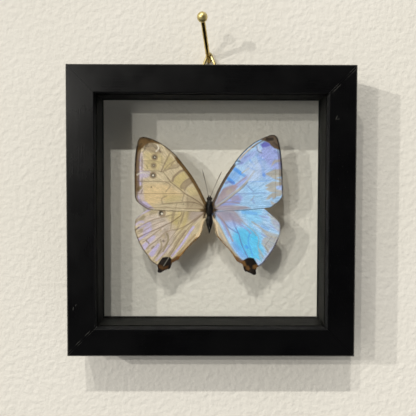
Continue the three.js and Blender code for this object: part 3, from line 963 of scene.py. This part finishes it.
def right_sheet(flat, turn, breadth):
    """Where points of a wing are on the sheet when the wing is a right one, as it is set."""
    c, s = cos(radians(turn)), sin(radians(turn))
    out, up = flat[:, 0] * breadth, flat[:, 1]
    return np.column_stack([
        SHEET_BODY[0] + SHEET_SCALE * (out * c - up * s),
        SHEET_BODY[1] - SHEET_SCALE * (out * s + up * c),
    ])


def relief(flat, veins):
    """How far the veins stand out of the wing, and how far the wing dips back between them."""
    sheet = left_sheet(flat)
    ridge, nearest = np.zeros(len(flat)), np.full(len(flat), np.inf)
    for height, path in veins:
        away = distance(sheet, smoothed(path, 6)) / SHEET_SCALE
        ridge = np.maximum(ridge, height * np.exp(-(away / VEIN_WIDTH) ** 2))
        nearest = np.minimum(nearest, away)
    dip = MEMBRANE_DIP * (1 - np.exp(-(nearest / DIP_REACH) ** 2))
    waves = np.sin(flat * WAVE_STEPS + WAVE_STARTS)
    return ridge, dip + WAVE * waves[:, 0] * waves[:, 1]


def bend(shape, flat):
    """How far back a wing bends. A forewing's lower part leans back onto the hindwing."""
    share = ease((FOREWING_BEND_TOP - flat[:, 1]) / FOREWING_BEND_TOP)
    return FOREWING_BEND * share * (shape is FOREWING)


def placed(wing, flat, backwards):
    """Points of a wing in the frame's own axes, from outwards and up, and backwards."""
    _, side, turn, breadth, forward = wing
    rise = Matrix.Rotation(radians(-side * WING_RISE), 3, "Z")
    turned = np.array(rise @ Matrix.Rotation(radians(-side * turn), 3, "Y"))
    points = np.column_stack([flat[:, 0], backwards, flat[:, 1]])
    spread = points * np.array([side * breadth, 1, 1])
    return spread @ turned.T + np.array([BODY_X, BODY_Y - forward, MIDDLE_Z])


def build_wing(name, veins, dorsal_marks, ventral_marks, looks, seed):
    """A wing as a closed sheet with its veins, and with the cover of each of its colours on its points,
    the painted sheen among them.
    """
    wing = WING_SETS[name]
    shape, side, turn, breadth, _ = wing
    ring = rim_of(shape, seed)
    flat, faces = membrane(ring)
    ridge, dip = relief(flat, veins)
    dip += bend(shape, flat)
    swell = HALF_THICKNESS + ridge
    points = np.vstack([placed(wing, flat, dip - swell), placed(wing, flat, dip + swell)])
    count = len(flat)
    facing = faces if side > 0 else faces[:, ::-1]
    edges = {(a, b) for face in facing.tolist() for a, b in zip(face, face[1:] + face[:1])}
    rim = [(b, a, a + count, b + count) for a, b in sorted(edges) if (b, a) not in edges]
    sides_and_rim = facing.tolist() + (facing[:, ::-1] + count).tolist() + rim
    piece = mesh_piece(name, points, sides_and_rim, looks)
    set_looks(piece, [0, 1, 0], [len(faces), len(faces), len(rim)])
    margin = to_ring(flat, ring) * SHEET_SCALE
    sheet = left_sheet(flat)
    dorsal_sheet = sheet if side < 0 else right_sheet(flat, turn, breadth)
    dorsal = drawn(dorsal_marks, dorsal_sheet, margin)
    ventral = drawn(ventral_marks, sheet, margin) if ventral_marks is not dorsal_marks else dorsal
    nothing = np.zeros(count)
    for colour_name in sorted({*dorsal, *ventral}):
        both = np.concatenate([dorsal.get(colour_name, nothing), ventral.get(colour_name, nothing)])
        set_attribute(piece, colour_name, both)
    reach, angle = np.linalg.norm(flat, axis=1), np.arctan2(flat[:, 1], flat[:, 0])
    flow = np.column_stack([reach / RAY_LENGTH, angle * RAYS_PER_RADIAN, nothing])
    set_attribute(piece, "flow", np.vstack([flow, flow]))


def mesh_piece(name, points, faces, looks):
    """A smooth piece of the butterfly from points in millimetres. It rides on the frame's body."""
    piece = new_mesh(name, points, faces, looks)
    piece.data.shade_smooth()
    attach(piece, "frame")
    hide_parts("butterfly")
    return piece


def new_mesh(name, points, faces, looks):
    """A mesh in the scene, from points in millimetres."""
    mesh = bpy.data.meshes.new(name)
    mesh.from_pydata((np.asarray(points, float) * MM).tolist(), [], faces)
    for look in looks:
        mesh.materials.append(look)
    return new_object(name, mesh)


def new_object(name, data):
    """A mesh, a light or a camera as an object in the scene."""
    made = bpy.data.objects.new(name, data)
    bpy.context.scene.collection.objects.link(made)
    return made


def set_looks(piece, looks, counts):
    """Gives the faces their materials, by the materials' numbers, so many faces at a time."""
    numbers = np.repeat(looks, counts).astype(np.int32)
    piece.data.polygons.foreach_set("material_index", numbers)


def set_attribute(piece, name, values):
    kind, key = ("FLOAT", "value") if values.ndim == 1 else ("FLOAT_VECTOR", "vector")
    layer = piece.data.attributes.new(name, kind, "POINT")
    layer.data.foreach_set(key, values.astype(np.float32).ravel())


FRAY_OF_MARKS = 4.5


def wing_look(name, ground, pigments_and_sheen, gloss):
    """Rows of scales on a wing, in their own colours and, where the set holds it, painted sheen. Each
    colour's edge frays along the wing's rays.
    """
    m = material(name)
    place = m.place()
    flow = m.attribute("flow", "Vector")
    fine_rays = m.noise(flow, 9.0, 3.0)
    broad_rays = m.noise(flow, 2.1, 2.0)
    scales = m.noise(place, 5200.0, 1.0)
    patches = m.noise(place, 260.0, 3.0)
    strands = m.noise(m.stretched(flow, (0.4, 1.0, 1.0)), 16.0, 2.0)
    rays = m.plus(m.times(fine_rays, 0.45), m.times(broad_rays, 0.55))
    fray = m.plus(m.times(scales, 0.4), m.times(rays, 0.6))
    shift = m.times(m.minus(fray, 0.5), FRAY_OF_MARKS)
    colour = m.mix(m.between(rays, 0.38, 0.62), *ground)
    for colour_name, tone in pigments_and_sheen.items():
        amount = m.attribute(colour_name)
        unsure = m.times(amount, m.minus(1.0, amount))
        ragged = m.math("MULTIPLY_ADD", unsure, shift, amount, clamp=True)
        colour = m.mix(ragged, colour, tone)
    bright = m.plus(m.between(patches, 0.3, 0.7, 0.97, 1.1), m.between(scales, 0.3, 0.7, -0.1, 0.1))
    dark_rays = m.between(rays, 0.35, 0.65, -0.12, 0.08)
    light = m.plus(bright, m.plus(dark_rays, m.between(strands, 0.35, 0.6, 0.06, -0.14)))
    height = m.plus(m.times(rays, 0.6), m.times(scales, 0.4))
    return m.surface(m.principled(
        Base_Color=m.shaded(colour, light), Roughness=m.between(rays, 0.3, 0.7, gloss, gloss + 0.12),
        Specular_IOR_Level=0.16, Sheen_Weight=0.03, Sheen_Roughness=0.4,
        Normal=m.bump(height, 0.00006, 0.6),
    ))


def build_wings():
    beige = wing_look("scales_beige", BEIGE_GROUND, BEIGE_PIGMENTS_AND_SHEEN, 0.5)
    # The right wings' upper sides get the painted blue sheen as their colour.
    blue = wing_look("scales_painted_blue_sheen", BLUE_SHEEN_GROUND, BLUE_SHEEN_AND_PIGMENTS, 0.4)
    under = wing_look("scales_underside", UNDERSIDE_GROUND, UNDERSIDE_PIGMENTS, 0.55)
    build_wing("forewing_left", FORE_VEINS, FORE_LEFT_MARKS, FORE_LEFT_MARKS, [beige, under], 1)
    build_wing("hindwing_left", HIND_VEINS, HIND_LEFT_MARKS, HIND_LEFT_MARKS, [beige, under], 2)
    build_wing("forewing_right", FORE_VEINS, FORE_RIGHT_MARKS, FORE_LEFT_MARKS, [blue, under], 3)
    build_wing("hindwing_right", HIND_VEINS, HIND_RIGHT_MARKS, HIND_LEFT_MARKS, [blue, under], 4)


# ---------------------------------------------------------------- body, feelers, legs and hairs

BODY_ROUND = 28
BODY_STEP = 0.09
LIMB_ROUND = 8


def swept(path, widths, depths, sides):
    """A closed round body along a path, with its own half width and half depth at each point."""
    path = np.array(path, float)
    count = len(path)
    along = np.gradient(path, axis=0)
    along /= np.linalg.norm(along, axis=1)[:, None]
    sideways = np.cross(along, (0, 1, 0))
    sideways /= np.linalg.norm(sideways, axis=1)[:, None]
    backwards = np.cross(sideways, along)
    turn = np.arange(sides) * 2 * pi / sides
    out = np.cos(turn)[None, :, None] * sideways[:, None, :] * np.reshape(widths, (-1, 1, 1))
    back = np.sin(turn)[None, :, None] * backwards[:, None, :] * np.reshape(depths, (-1, 1, 1))
    skin = (path[:, None, :] + out + back).reshape(-1, 3)
    points = np.vstack([skin, path[:1], path[-1:]])
    faces = []
    for k in range(sides):
        after = (k + 1) % sides
        faces += [(i + after, i + k, i + k + sides, i + after + sides)
                  for i in range(0, (count - 1) * sides, sides)]
        faces.append((count * sides, k, after))
        faces.append((count * sides + 1, (count - 1) * sides + after, (count - 1) * sides + k))
    return points, faces


def joined(parts):
    """Several lists of points and faces as one."""
    points, faces, start = [], [], 0
    for part_points, part_faces in parts:
        points.append(part_points)
        faces += [tuple(index + start for index in face) for face in part_faces]
        start += len(part_points)
    return np.vstack(points), faces


def at_body(points):
    return np.asarray(points, float) + np.array([BODY_X, BODY_Y, MIDDLE_Z])


# The heights down each part of the body, with its half width and half depth at each.
HEAD = [(7.1, 0.3, 0.35), (6.9, 0.85, 0.8), (6.4, 1.2, 1.1), (5.9, 1.25, 1.15), (5.4, 1.1, 1.05),
        (5.1, 0.8, 0.8)]
THORAX = [(5.4, 0.7, 0.8), (5.0, 1.25, 1.3), (4.2, 1.65, 1.7), (3.0, 1.85, 1.95), (1.6, 1.9, 2.05),
          (0.2, 1.85, 2.0), (-1.2, 1.7, 1.85), (-2.4, 1.5, 1.6), (-3.2, 1.25, 1.35), (-3.6, 0.9, 1.0)]
ABDOMEN = [(-3.0, 1.0, 1.1), (-3.5, 1.5, 1.5), (-4.4, 1.8, 1.75), (-5.6, 1.92, 1.85), (-7.0, 1.82, 1.75),
           (-8.4, 1.5, 1.45), (-9.8, 1.1, 1.1), (-11.2, 0.65, 0.7), (-12.3, 0.3, 0.35), (-12.7, 0.1, 0.12)]
SEGMENT = 1.28
SEGMENT_DEPTH = 0.11


def trunk(profile, seed, lump, segmented=False):
    """A part of the body along its upright axis, with lumps, and with rings if it is segmented."""
    chain = smoothed(profile, 16)
    heights = np.arange(profile[-1][0], profile[0][0], BODY_STEP)[::-1]
    widths = np.interp(-heights, -chain[:, 0], chain[:, 1])
    depths = np.interp(-heights, -chain[:, 0], chain[:, 2])
    if segmented:
        tucked = SEGMENT_DEPTH * (((ABDOMEN[0][0] - heights) / SEGMENT) % 1) ** 4
        widths, depths = widths * (1 - tucked), depths * (1 - tucked)
    path = np.column_stack([0 * heights, 0 * heights, heights])
    points, faces = swept(path, widths, depths, BODY_ROUND)
    rough = np.random.default_rng(seed).normal(0, lump, len(points))
    points[:, :2] *= (1 + rough)[:, None]
    return points, faces


def ball(centre, radii):
    """A round body with its poles up and down, such as an eye."""
    share = np.linspace(-0.98, 0.98, 15)
    ring = np.sqrt(1 - share ** 2)
    path = np.column_stack([0 * share, 0 * share, share * radii[2]]) + np.array(centre)
    return swept(path, ring * radii[0], ring * radii[1], BODY_ROUND)


def limb(points, radii, steps=8, sides=LIMB_ROUND):
    """A thin part along a smooth path, with its radius given at even shares of the way."""
    flat = smoothed(np.array(points, float)[:, [0, 2]], steps)
    back = smoothed([(i, p[1]) for i, p in enumerate(points)], steps)[:, 1]
    path = np.column_stack([flat[:, 0], back, flat[:, 1]])
    radius = np.interp(np.linspace(0, 1, len(path)), np.linspace(0, 1, len(radii)), radii)
    return swept(path, radius, radius, sides)


# From the body's middle: the tips of the left and the right feeler, and for one side the points
# of the legs and the palp, the eye and the feeler's root. Radii are at even shares of the way.
FEELERS = {-1: (-3.9, -1.7, 22.0), 1: (6.6, -1.7, 21.0)}
FEELER_RADII = [0.13, 0.1, 0.09, 0.09, 0.1, 0.12, 0.17, 0.22, 0.2, 0.08]
LEGS = [
    [(0.8, 1, 1.2), (2.2, 1.9, -0.8), (1.2, 2.5, -3.8), (0.7, 2.6, -6.6)],
    [(0.8, 1, -1.4), (2.2, 1.9, -3.2), (1.3, 2.5, -6.2), (0.9, 2.6, -9.2)],
]
LEG_RADII = [0.24, 0.2, 0.15, 0.12, 0.1, 0.08, 0.05]
PALP = [(0.35, -0.7, 6.4), (0.45, -0.9, 7.1), (0.4, -0.8, 7.7), (0.3, -0.6, 8.1)]
PALP_RADII = [0.26, 0.34, 0.28, 0.08]
EYE = (0.98, -0.1, 6.15)
EYE_RADII = (0.6, 0.68, 0.78)
FEELER_ROOT = (0.5, -0.9, 6.9)
FEELER_BOW = 0.7
FEELER_RINGING = 0.12
TONGUE_Y, TONGUE_Z = -0.35, 6.1
TONGUE_COIL = 3.3 * pi
TONGUE_CORE = 0.12
TONGUE_GROWTH = 0.055


def feeler(side):
    tip = np.array(FEELERS[side])
    root = np.array(FEELER_ROOT) * (side, 1, 1)
    bowed = [root + (tip - root) * share for share in np.linspace(0, 1, 9)]
    for i, point in enumerate(bowed):
        point[0] -= side * FEELER_BOW * (i / 8) * (1 - i / 8)
    points, faces = limb(bowed, FEELER_RADII, 14)
    ringed = 1 + FEELER_RINGING * np.sin(np.arange(len(points)) // LIMB_ROUND * 2.2)
    middle = np.repeat(points[:-2].reshape(-1, LIMB_ROUND, 3).mean(axis=1), LIMB_ROUND, axis=0)
    points[:-2] = middle + (points[:-2] - middle) * ringed[:-2, None]
    return points, faces


def coiled_tongue():
    """The proboscis, a flat coil under the head."""
    turn = np.linspace(0, TONGUE_COIL, 60)
    reach = TONGUE_CORE + TONGUE_GROWTH * turn
    across = np.linspace(0.05, -0.05, len(turn))
    path = [(x, TONGUE_Y + r * sin(t), TONGUE_Z + r * cos(t)) for x, r, t in zip(across, reach, turn)]
    return swept_around_x(np.array(path), np.linspace(0.07, 0.1, len(turn)))


def swept_around_x(path, radius):
    """The same as swept, for a path that lies across the body's middle plane."""
    turned_path = path[:, [1, 0, 2]] * np.array([-1, 1, 1])
    points, faces = swept(turned_path, radius, radius, LIMB_ROUND)
    return points[:, [1, 0, 2]] * np.array([1, -1, 1]), faces


def horn(name, dark, light, rough, relief_size):
    """Dark horny skin with a grain of fine scales."""
    m = material(name)
    place = m.place()
    grain = m.noise(place, 2600.0, 3.0)
    tone = m.plus(m.noise(place, 520.0, 2.0), m.times(grain, 0.5))
    return m.surface(m.principled(
        Base_Color=m.mix(m.between(tone, 0.5, 1.0), dark, light),
        Roughness=m.between(grain, 0.3, 0.7, rough, rough + 0.25), Specular_IOR_Level=0.2,
        Normal=m.bump(grain, relief_size),
    ))


def hair_look(name, root, tip, rough):
    """Hair that pales from its root to its tip, with some hairs darker than others."""
    m = material(name)
    shade = m.attribute("shade")
    colour = m.mix(m.between(m.attribute("along"), 0.1, 1.0), root, tip)
    return m.surface(m.principled(
        Base_Color=m.shaded(colour, m.math("MULTIPLY_ADD", shade, 0.5, 0.6)),
        Roughness=m.between(shade, 0.0, 1.0, rough, rough + 0.2), Specular_IOR_Level=0.12,
    ))


# How far along a hair each of its rings of points is, and how thick it is there.
HAIR_RINGS = ((0.0, 1.0), (0.55, 0.7), (1.0, 0.0))
HAIR_POINTS = 7
HAIR_UNRULINESS = 0.22
HAIR_LENGTHS = (0.65, 1.15)


def hairs(name, roots, ways, lengths, width, droop, look, seed):
    """Tapered hairs as one piece. Each has a root, a way it points and a length."""
    rng = np.random.default_rng(seed)
    count = len(roots)
    ways = ways + rng.normal(0, HAIR_UNRULINESS, ways.shape)
    ways /= np.linalg.norm(ways, axis=1)[:, None]
    lengths = (lengths * rng.uniform(*HAIR_LENGTHS, count))[:, None]
    across = np.cross(ways, rng.normal(0, 1, ways.shape))
    across /= np.linalg.norm(across, axis=1)[:, None]
    third = np.cross(ways, across)
    fall = np.array([0, 0, -droop])
    points, along = [], []
    for share, thick in HAIR_RINGS:
        middle = roots + ways * lengths * share + fall * lengths * share ** 2
        corners = 3 if thick else 1
        for k in range(corners):
            angle = 2 * pi * k / 3
            points.append(middle + (across * cos(angle) + third * sin(angle)) * width / 2 * thick)
            along.append(np.full(count, share))
    stacked = np.stack(points, axis=1).reshape(-1, 3)
    faces = []
    for start in range(0, HAIR_POINTS * count, HAIR_POINTS):
        for k in range(3):
            after = (k + 1) % 3
            faces.append((start + k, start + after, start + 3 + after, start + 3 + k))
            faces.append((start + 3 + k, start + 3 + after, start + 6))
        faces.append((start + 2, start + 1, start))
    piece = mesh_piece(name, stacked, faces, [look])
    set_attribute(piece, "along", np.stack(along, axis=1).ravel())
    set_attribute(piece, "shade", np.repeat(rng.uniform(0, 1, count), HAIR_POINTS))


ROOT_DEPTH = 0.96
TRUNK_DROOP = 0.3


def hairs_on_trunk(name, profile, count, length, width, look, seed, lean):
    """Hairs all round a part of the body, which lie towards the tail."""
    rng = np.random.default_rng(seed)
    chain = smoothed(profile, 16)
    pick = rng.uniform(0.03, 0.97, count) * (len(chain) - 1)
    index = np.arange(len(chain))
    height, wide, deep = (np.interp(pick, index, chain[:, k]) for k in range(3))
    turn = rng.uniform(0, 2 * pi, count)
    out = np.column_stack([np.cos(turn), np.sin(turn), np.full(count, -lean)])
    skin = np.column_stack([wide * np.cos(turn), deep * np.sin(turn), height])
    roots = skin * np.array([ROOT_DEPTH, ROOT_DEPTH, 1])
    hairs(name, at_body(roots), out, np.full(count, length), width, TRUNK_DROOP, look, seed)


# Where tufts of hair grow on the wings: the wing, from and to as outwards and up, how far the
# tuft's roots spread, which way it points, how long it is, how many hairs, and its look.
TUFTS = [
    ("forewing", (1.4, 3.6), (2.6, -0.8), 0.5, (1, 0.2), 2.0, 260, "hair_tawny"),
    ("hindwing", (1.4, 0.6), (2.4, -4.0), 0.5, (1, -0.5), 2.2, 320, "hair_tawny"),
    ("hindwing", (3.1, -6.5), (3.9, -10.4), 0.25, (0.2, -1), 1.5, 260, "hair_cream"),
    ("hindwing", (3.9, -10.4), (5.2, -14.1), 0.25, (0.3, -1), 1.3, 240, "hair_cream"),
    ("hindwing", (5.2, -14.1), (12.9, -21.4), 0.25, (0.2, -1), 0.9, 300, "hair_amber"),
    ("hindwing", (12.9, -21.4), (17.4, -27.3), 0.25, (0.1, -1), 0.8, 220, "hair_amber"),
]
SHARE_IN_FRONT = 0.65
TUFT_LIFT = 0.16
TUFT_WIDTH = 0.05


def tuft(name, wing, start, end, spread, way, length, count, look, seed):
    """Hairs on a wing along a line, most of them on its front and the others on its back."""
    shape, side = wing[:2]
    rng = np.random.default_rng(seed)
    line = np.array(start) + np.subtract(end, start) * rng.uniform(0, 1, (count, 1))
    flat = line + rng.normal(0, spread / 2, (count, 2))
    lift = np.where(rng.uniform(0, 1, count) < SHARE_IN_FRONT, -TUFT_LIFT, TUFT_LIFT)
    roots = placed(wing, flat, lift + bend(shape, flat))
    ways = np.column_stack([np.full(count, side * way[0]), lift, np.full(count, way[1])])
    hairs(name, roots, ways, np.full(count, length), TUFT_WIDTH, 0.0, look, seed)


FRINGE_START = 15
FRINGE_LENGTH = 0.34
FRINGE_WIDTH = 0.055
FRINGE_SPREAD = 0.06
HAIRS_PER_RIM_POINT = 3


def fringe(name, wing, look, seed):
    """The short fringe of scales round a wing's margin, away from the body."""
    shape, side = wing[:2]
    ring = rim_of(shape, seed)
    outwards = outwards_of(ring)
    rng = np.random.default_rng(seed)
    outer = np.flatnonzero(ring[:, 0] > FRINGE_START)
    picked = rng.permutation(np.repeat(outer, HAIRS_PER_RIM_POINT))
    flat = ring[picked] + rng.normal(0, FRINGE_SPREAD, (len(picked), 2))
    roots = placed(wing, flat, bend(shape, flat))
    ways = np.column_stack([side * outwards[picked, 0], np.zeros(len(picked)), outwards[picked, 1]])
    hairs(name, roots, ways, np.full(len(picked), FRINGE_LENGTH), FRINGE_WIDTH, 0.0, look, seed)


def build_body():
    skin = horn("body_skin", srgb(4, 3, 2), srgb(20, 16, 12), 0.26, 0.00004)
    eye_skin = horn("eye_skin", srgb(20, 10, 6), srgb(48, 28, 18), 0.12, 0.000005)
    feeler_skin = horn("feeler_skin", srgb(48, 36, 28), srgb(110, 92, 74), 0.4, 0.00001)
    points, faces = joined([
        trunk(HEAD, 11, 0.025), trunk(THORAX, 12, 0.02), trunk(ABDOMEN, 13, 0.008, segmented=True),
    ])
    mesh_piece("body", at_body(points), faces, [skin])
    points, faces = joined([ball(np.array(EYE) * (side, 1, 1), EYE_RADII) for side in (-1, 1)])
    mesh_piece("eyes", at_body(points), faces, [eye_skin])
    palps = [limb([(s * x, y, z) for x, y, z in PALP], PALP_RADII) for s in (-1, 1)]
    legs = [limb([(s * x, y, z) for x, y, z in leg], LEG_RADII) for s in (-1, 1) for leg in LEGS]
    points, faces = joined([*palps, *legs, coiled_tongue()])
    mesh_piece("legs_and_mouth", at_body(points), faces, [skin])
    points, faces = joined([feeler(-1), feeler(1)])
    mesh_piece("feelers", at_body(points), faces, [feeler_skin])


# The colours of the hairs' roots and tips, and their roughness.
HAIR_COLOURS = {
    "hair_black": (srgb(4, 3, 3), srgb(26, 21, 16), 0.35),
    "hair_tawny": (srgb(96, 72, 42), srgb(168, 142, 104), 0.45),
    "hair_cream": (srgb(196, 168, 126), srgb(232, 214, 186), 0.5),
    "hair_amber": (srgb(142, 98, 44), srgb(200, 156, 96), 0.45),
    "hair_brown": (srgb(46, 30, 16), srgb(120, 92, 62), 0.45),
    "hair_grey": (srgb(98, 84, 92), srgb(196, 188, 196), 0.45),
}


def build_hairs():
    looks = {name: hair_look(name, *colours) for name, colours in HAIR_COLOURS.items()}
    black = looks["hair_black"]
    hairs_on_trunk("hairs_head", HEAD, 500, 0.5, 0.04, black, 21, -0.2)
    hairs_on_trunk("hairs_thorax", THORAX, 1500, 0.65, 0.045, black, 22, 0.9)
    hairs_on_trunk("hairs_abdomen", ABDOMEN, 1100, 0.4, 0.035, black, 23, 1.6)
    seed = 30
    for side in ("left", "right"):
        for kind, *where, look in TUFTS:
            seed += 1
            tuft(f"hairs_wing_{seed}", WING_SETS[f"{kind}_{side}"], *where, looks[look], seed)
    for seed, (name, wing) in enumerate(WING_SETS.items(), 1):
        look = looks["hair_brown" if wing[0] is FOREWING else "hair_grey"]
        fringe(f"fringe_{name}", wing, look, seed)


# ---------------------------------------------------------------- stage

WALL_Y = 16.5
FLOOR_Z = -420.0
ROOM_REACH = 1600
ROOM_TOP = 1400


def plaster():
    """Pale painted plaster, seen only from its front."""
    m = material("plaster")
    place = m.place()
    soft = m.noise(place, 300.0, 4.0)
    tone = m.between(m.noise(place, 12.0, 2.0), 0.3, 0.7)
    front = m.principled(
        Base_Color=m.mix(tone, srgb(234, 230, 221), srgb(237, 233, 225)), Roughness=0.85,
        Specular_IOR_Level=0.15, Normal=m.bump(soft, 0.0012, 0.6),
    )
    behind = m.add("ShaderNodeBsdfTransparent")
    backfacing = m.add("ShaderNodeNewGeometry").outputs["Backfacing"]
    return m.surface(m.either(backfacing, front, behind))


def pale_floor():
    m = material("pale_floor")
    tone = m.noise(m.place(), 4.0, 3.0)
    return m.surface(m.principled(
        Base_Color=m.mix(tone, srgb(228, 225, 217), srgb(234, 231, 224)), Roughness=0.8,
    ))


def build_wall_and_floor():
    left, right, low, high = -ROOM_REACH, ROOM_REACH, FLOOR_Z, ROOM_TOP
    corners = [(left, WALL_Y, low), (right, WALL_Y, low), (right, WALL_Y, high), (left, WALL_Y, high)]
    wall = new_mesh("wall", corners, [(0, 1, 2, 3)], [plaster()])
    wall.visible_shadow = wall.visible_diffuse = False
    corners = [(left, left, low), (right, left, low), (right, right, low), (left, right, low)]
    floor = new_mesh("floor", corners, [(0, 1, 2, 3)], [pale_floor()])
    floor.visible_diffuse = floor.visible_glossy = floor.visible_transmission = False


# The brass nail in the wall, inside the ring: its axis where it meets the wall, and its head.
NAIL_FOOT = (-1.3, 17.5, 160.7)
NAIL_HEAD = (-4.9, -8.0, 177.0)
NAIL_RADIUS = 1.25
NAIL_HEAD_RADIUS = 2.75


def build_nail():
    foot, head = np.array(NAIL_FOOT), np.array(NAIL_HEAD)
    shaft = [foot + (head - foot) * share for share in np.linspace(0, 1, 24)]
    parts = [limb(shaft, [NAIL_RADIUS, NAIL_RADIUS], 2, 24), ball(NAIL_HEAD, [NAIL_HEAD_RADIUS] * 3)]
    nail = new_mesh("nail", *joined(parts), [
        brass("shaft_brass", srgb(214, 190, 122), srgb(164, 140, 84), 0.08),
        brass("head_brass", srgb(224, 206, 140), srgb(182, 160, 100), 0.36),
    ])
    set_looks(nail, [0, 1], [len(faces) for _, faces in parts])
    nail.data.shade_smooth()


# ---------------------------------------------------------------- lamps, room and camera

LAMP_COLOUR = (1, 0.97, 0.9)
LAMP_AIM = (950, -150, -750)

# The lamps: four small ones and a soft one in front at the left, and a soft one behind. Each has
# its place, its watts and its breadth.
LAMPS = {
    "lamp_far_left": ((-649, -592, 345), 3.0, 14),
    "lamp_left": ((-309, -495, 242), 2.15, 12),
    "lamp_high_left": ((-244, -657, 752), 2.05, 14),
    "lamp_high": ((-111, -657, 752), 3.3, 14),
    "lamp_soft": ((-500, -812, 150), 0.9, 220),
    "lamp_behind": ((500, 700, 500), 1.0, 500),
}

# The room's light from low, from above at the left, from straight in front, and from behind.
ROOM_DIM = (0.27, 0.27, 0.27, 1)
ROOM_BRIGHT = (0.69, 0.68, 0.64, 1)
ROOM_DARK = (0.012, 0.012, 0.012, 1)
ROOM_BEHIND = (0.5, 0.49, 0.46, 1)


def lamp(name, place, watts, breadth):
    """A round lamp aimed past the frame, so that the wall is about equally bright all over."""
    light = bpy.data.lights.new(name, "AREA")
    light.shape = "DISK"
    light.size = breadth * MM
    light.energy = watts
    light.color = LAMP_COLOUR
    n = Nodes(light)
    even = n.add("ShaderNodeLightFalloff", {"Strength": 1.0}).outputs["Constant"]
    glow = n.add("ShaderNodeEmission", {"Strength": even})
    n.add("ShaderNodeOutputLight", {"Surface": glow.outputs[0]})
    holder = new_object(name, light)
    holder.location = Vector(place) * MM
    aim = (Vector(LAMP_AIM) - Vector(place)).to_track_quat("-Z", "Y")
    holder.rotation_euler = aim.to_euler()
    holder.visible_camera = False


def build_lights():
    """The lamps, and a room that is brightest above and at the left, and dark in front."""
    for name, setting in LAMPS.items():
        lamp(name, *setting)
    world = bpy.data.worlds.new("studio")
    bpy.context.scene.world = world
    w = Nodes(world)
    ray = w.add("ShaderNodeTexCoord").outputs["Generated"]
    x, y, z = w.split(ray)
    lean = w.plus(w.times(x, -0.5), w.times(z, 0.6))
    sides = w.mix(w.between(lean, -0.45, 0.6), ROOM_DIM, ROOM_BRIGHT)
    facing = w.math("MULTIPLY_ADD", lean, 0.15, y)
    front = w.mix(w.between(facing, -0.93, -0.7, 1.0, 0.0), sides, ROOM_DARK)
    room = w.mix(w.between(y, -0.1, 0.2), front, ROOM_BEHIND)
    light = w.add("ShaderNodeBackground", {"Color": room, "Strength": 1.0})
    w.add("ShaderNodeOutputWorld", {"Surface": light.outputs[0]})


# The photo's camera: its place, how far it is turned left, up and over, in degrees, its focal
# length, which is the picture's width too, and how far the picture is shifted, in its pixels.
CAMERA_PLACE = (-2.405, -227.046, 91.503)
CAMERA_TURN, CAMERA_TILT, CAMERA_ROLL = -0.1796, -1.4811, -0.1334
FOCAL_LENGTH = 36
SHIFT_PIXELS = -16
PICTURE_PIXELS = 416


def build_camera():
    lens = bpy.data.cameras.new("camera")
    lens.lens = lens.sensor_width = FOCAL_LENGTH
    lens.shift_y = SHIFT_PIXELS / PICTURE_PIXELS
    lens.clip_start = 0.01
    camera = new_object("camera", lens)
    turn = Matrix.Rotation(radians(CAMERA_TURN), 4, "Z") @ Matrix.Rotation(radians(CAMERA_TILT), 4, "X")
    roll = Matrix.Rotation(radians(CAMERA_ROLL), 4, "Y") @ Matrix.Rotation(radians(90), 4, "X")
    camera.matrix_world = Matrix.Translation(Vector(CAMERA_PLACE) * MM) @ turn @ roll
    bpy.context.scene.camera = camera


# ---------------------------------------------------------------- everything together

dress_frame()
build_wings()
build_body()
build_hairs()
build_wall_and_floor()
build_nail()
build_lights()
build_camera()

# A phone's camera lifts the middle tones a little.
view = bpy.context.scene.view_settings
view.view_transform = "Standard"
view.exposure = -0.03
view.gamma = 1.06
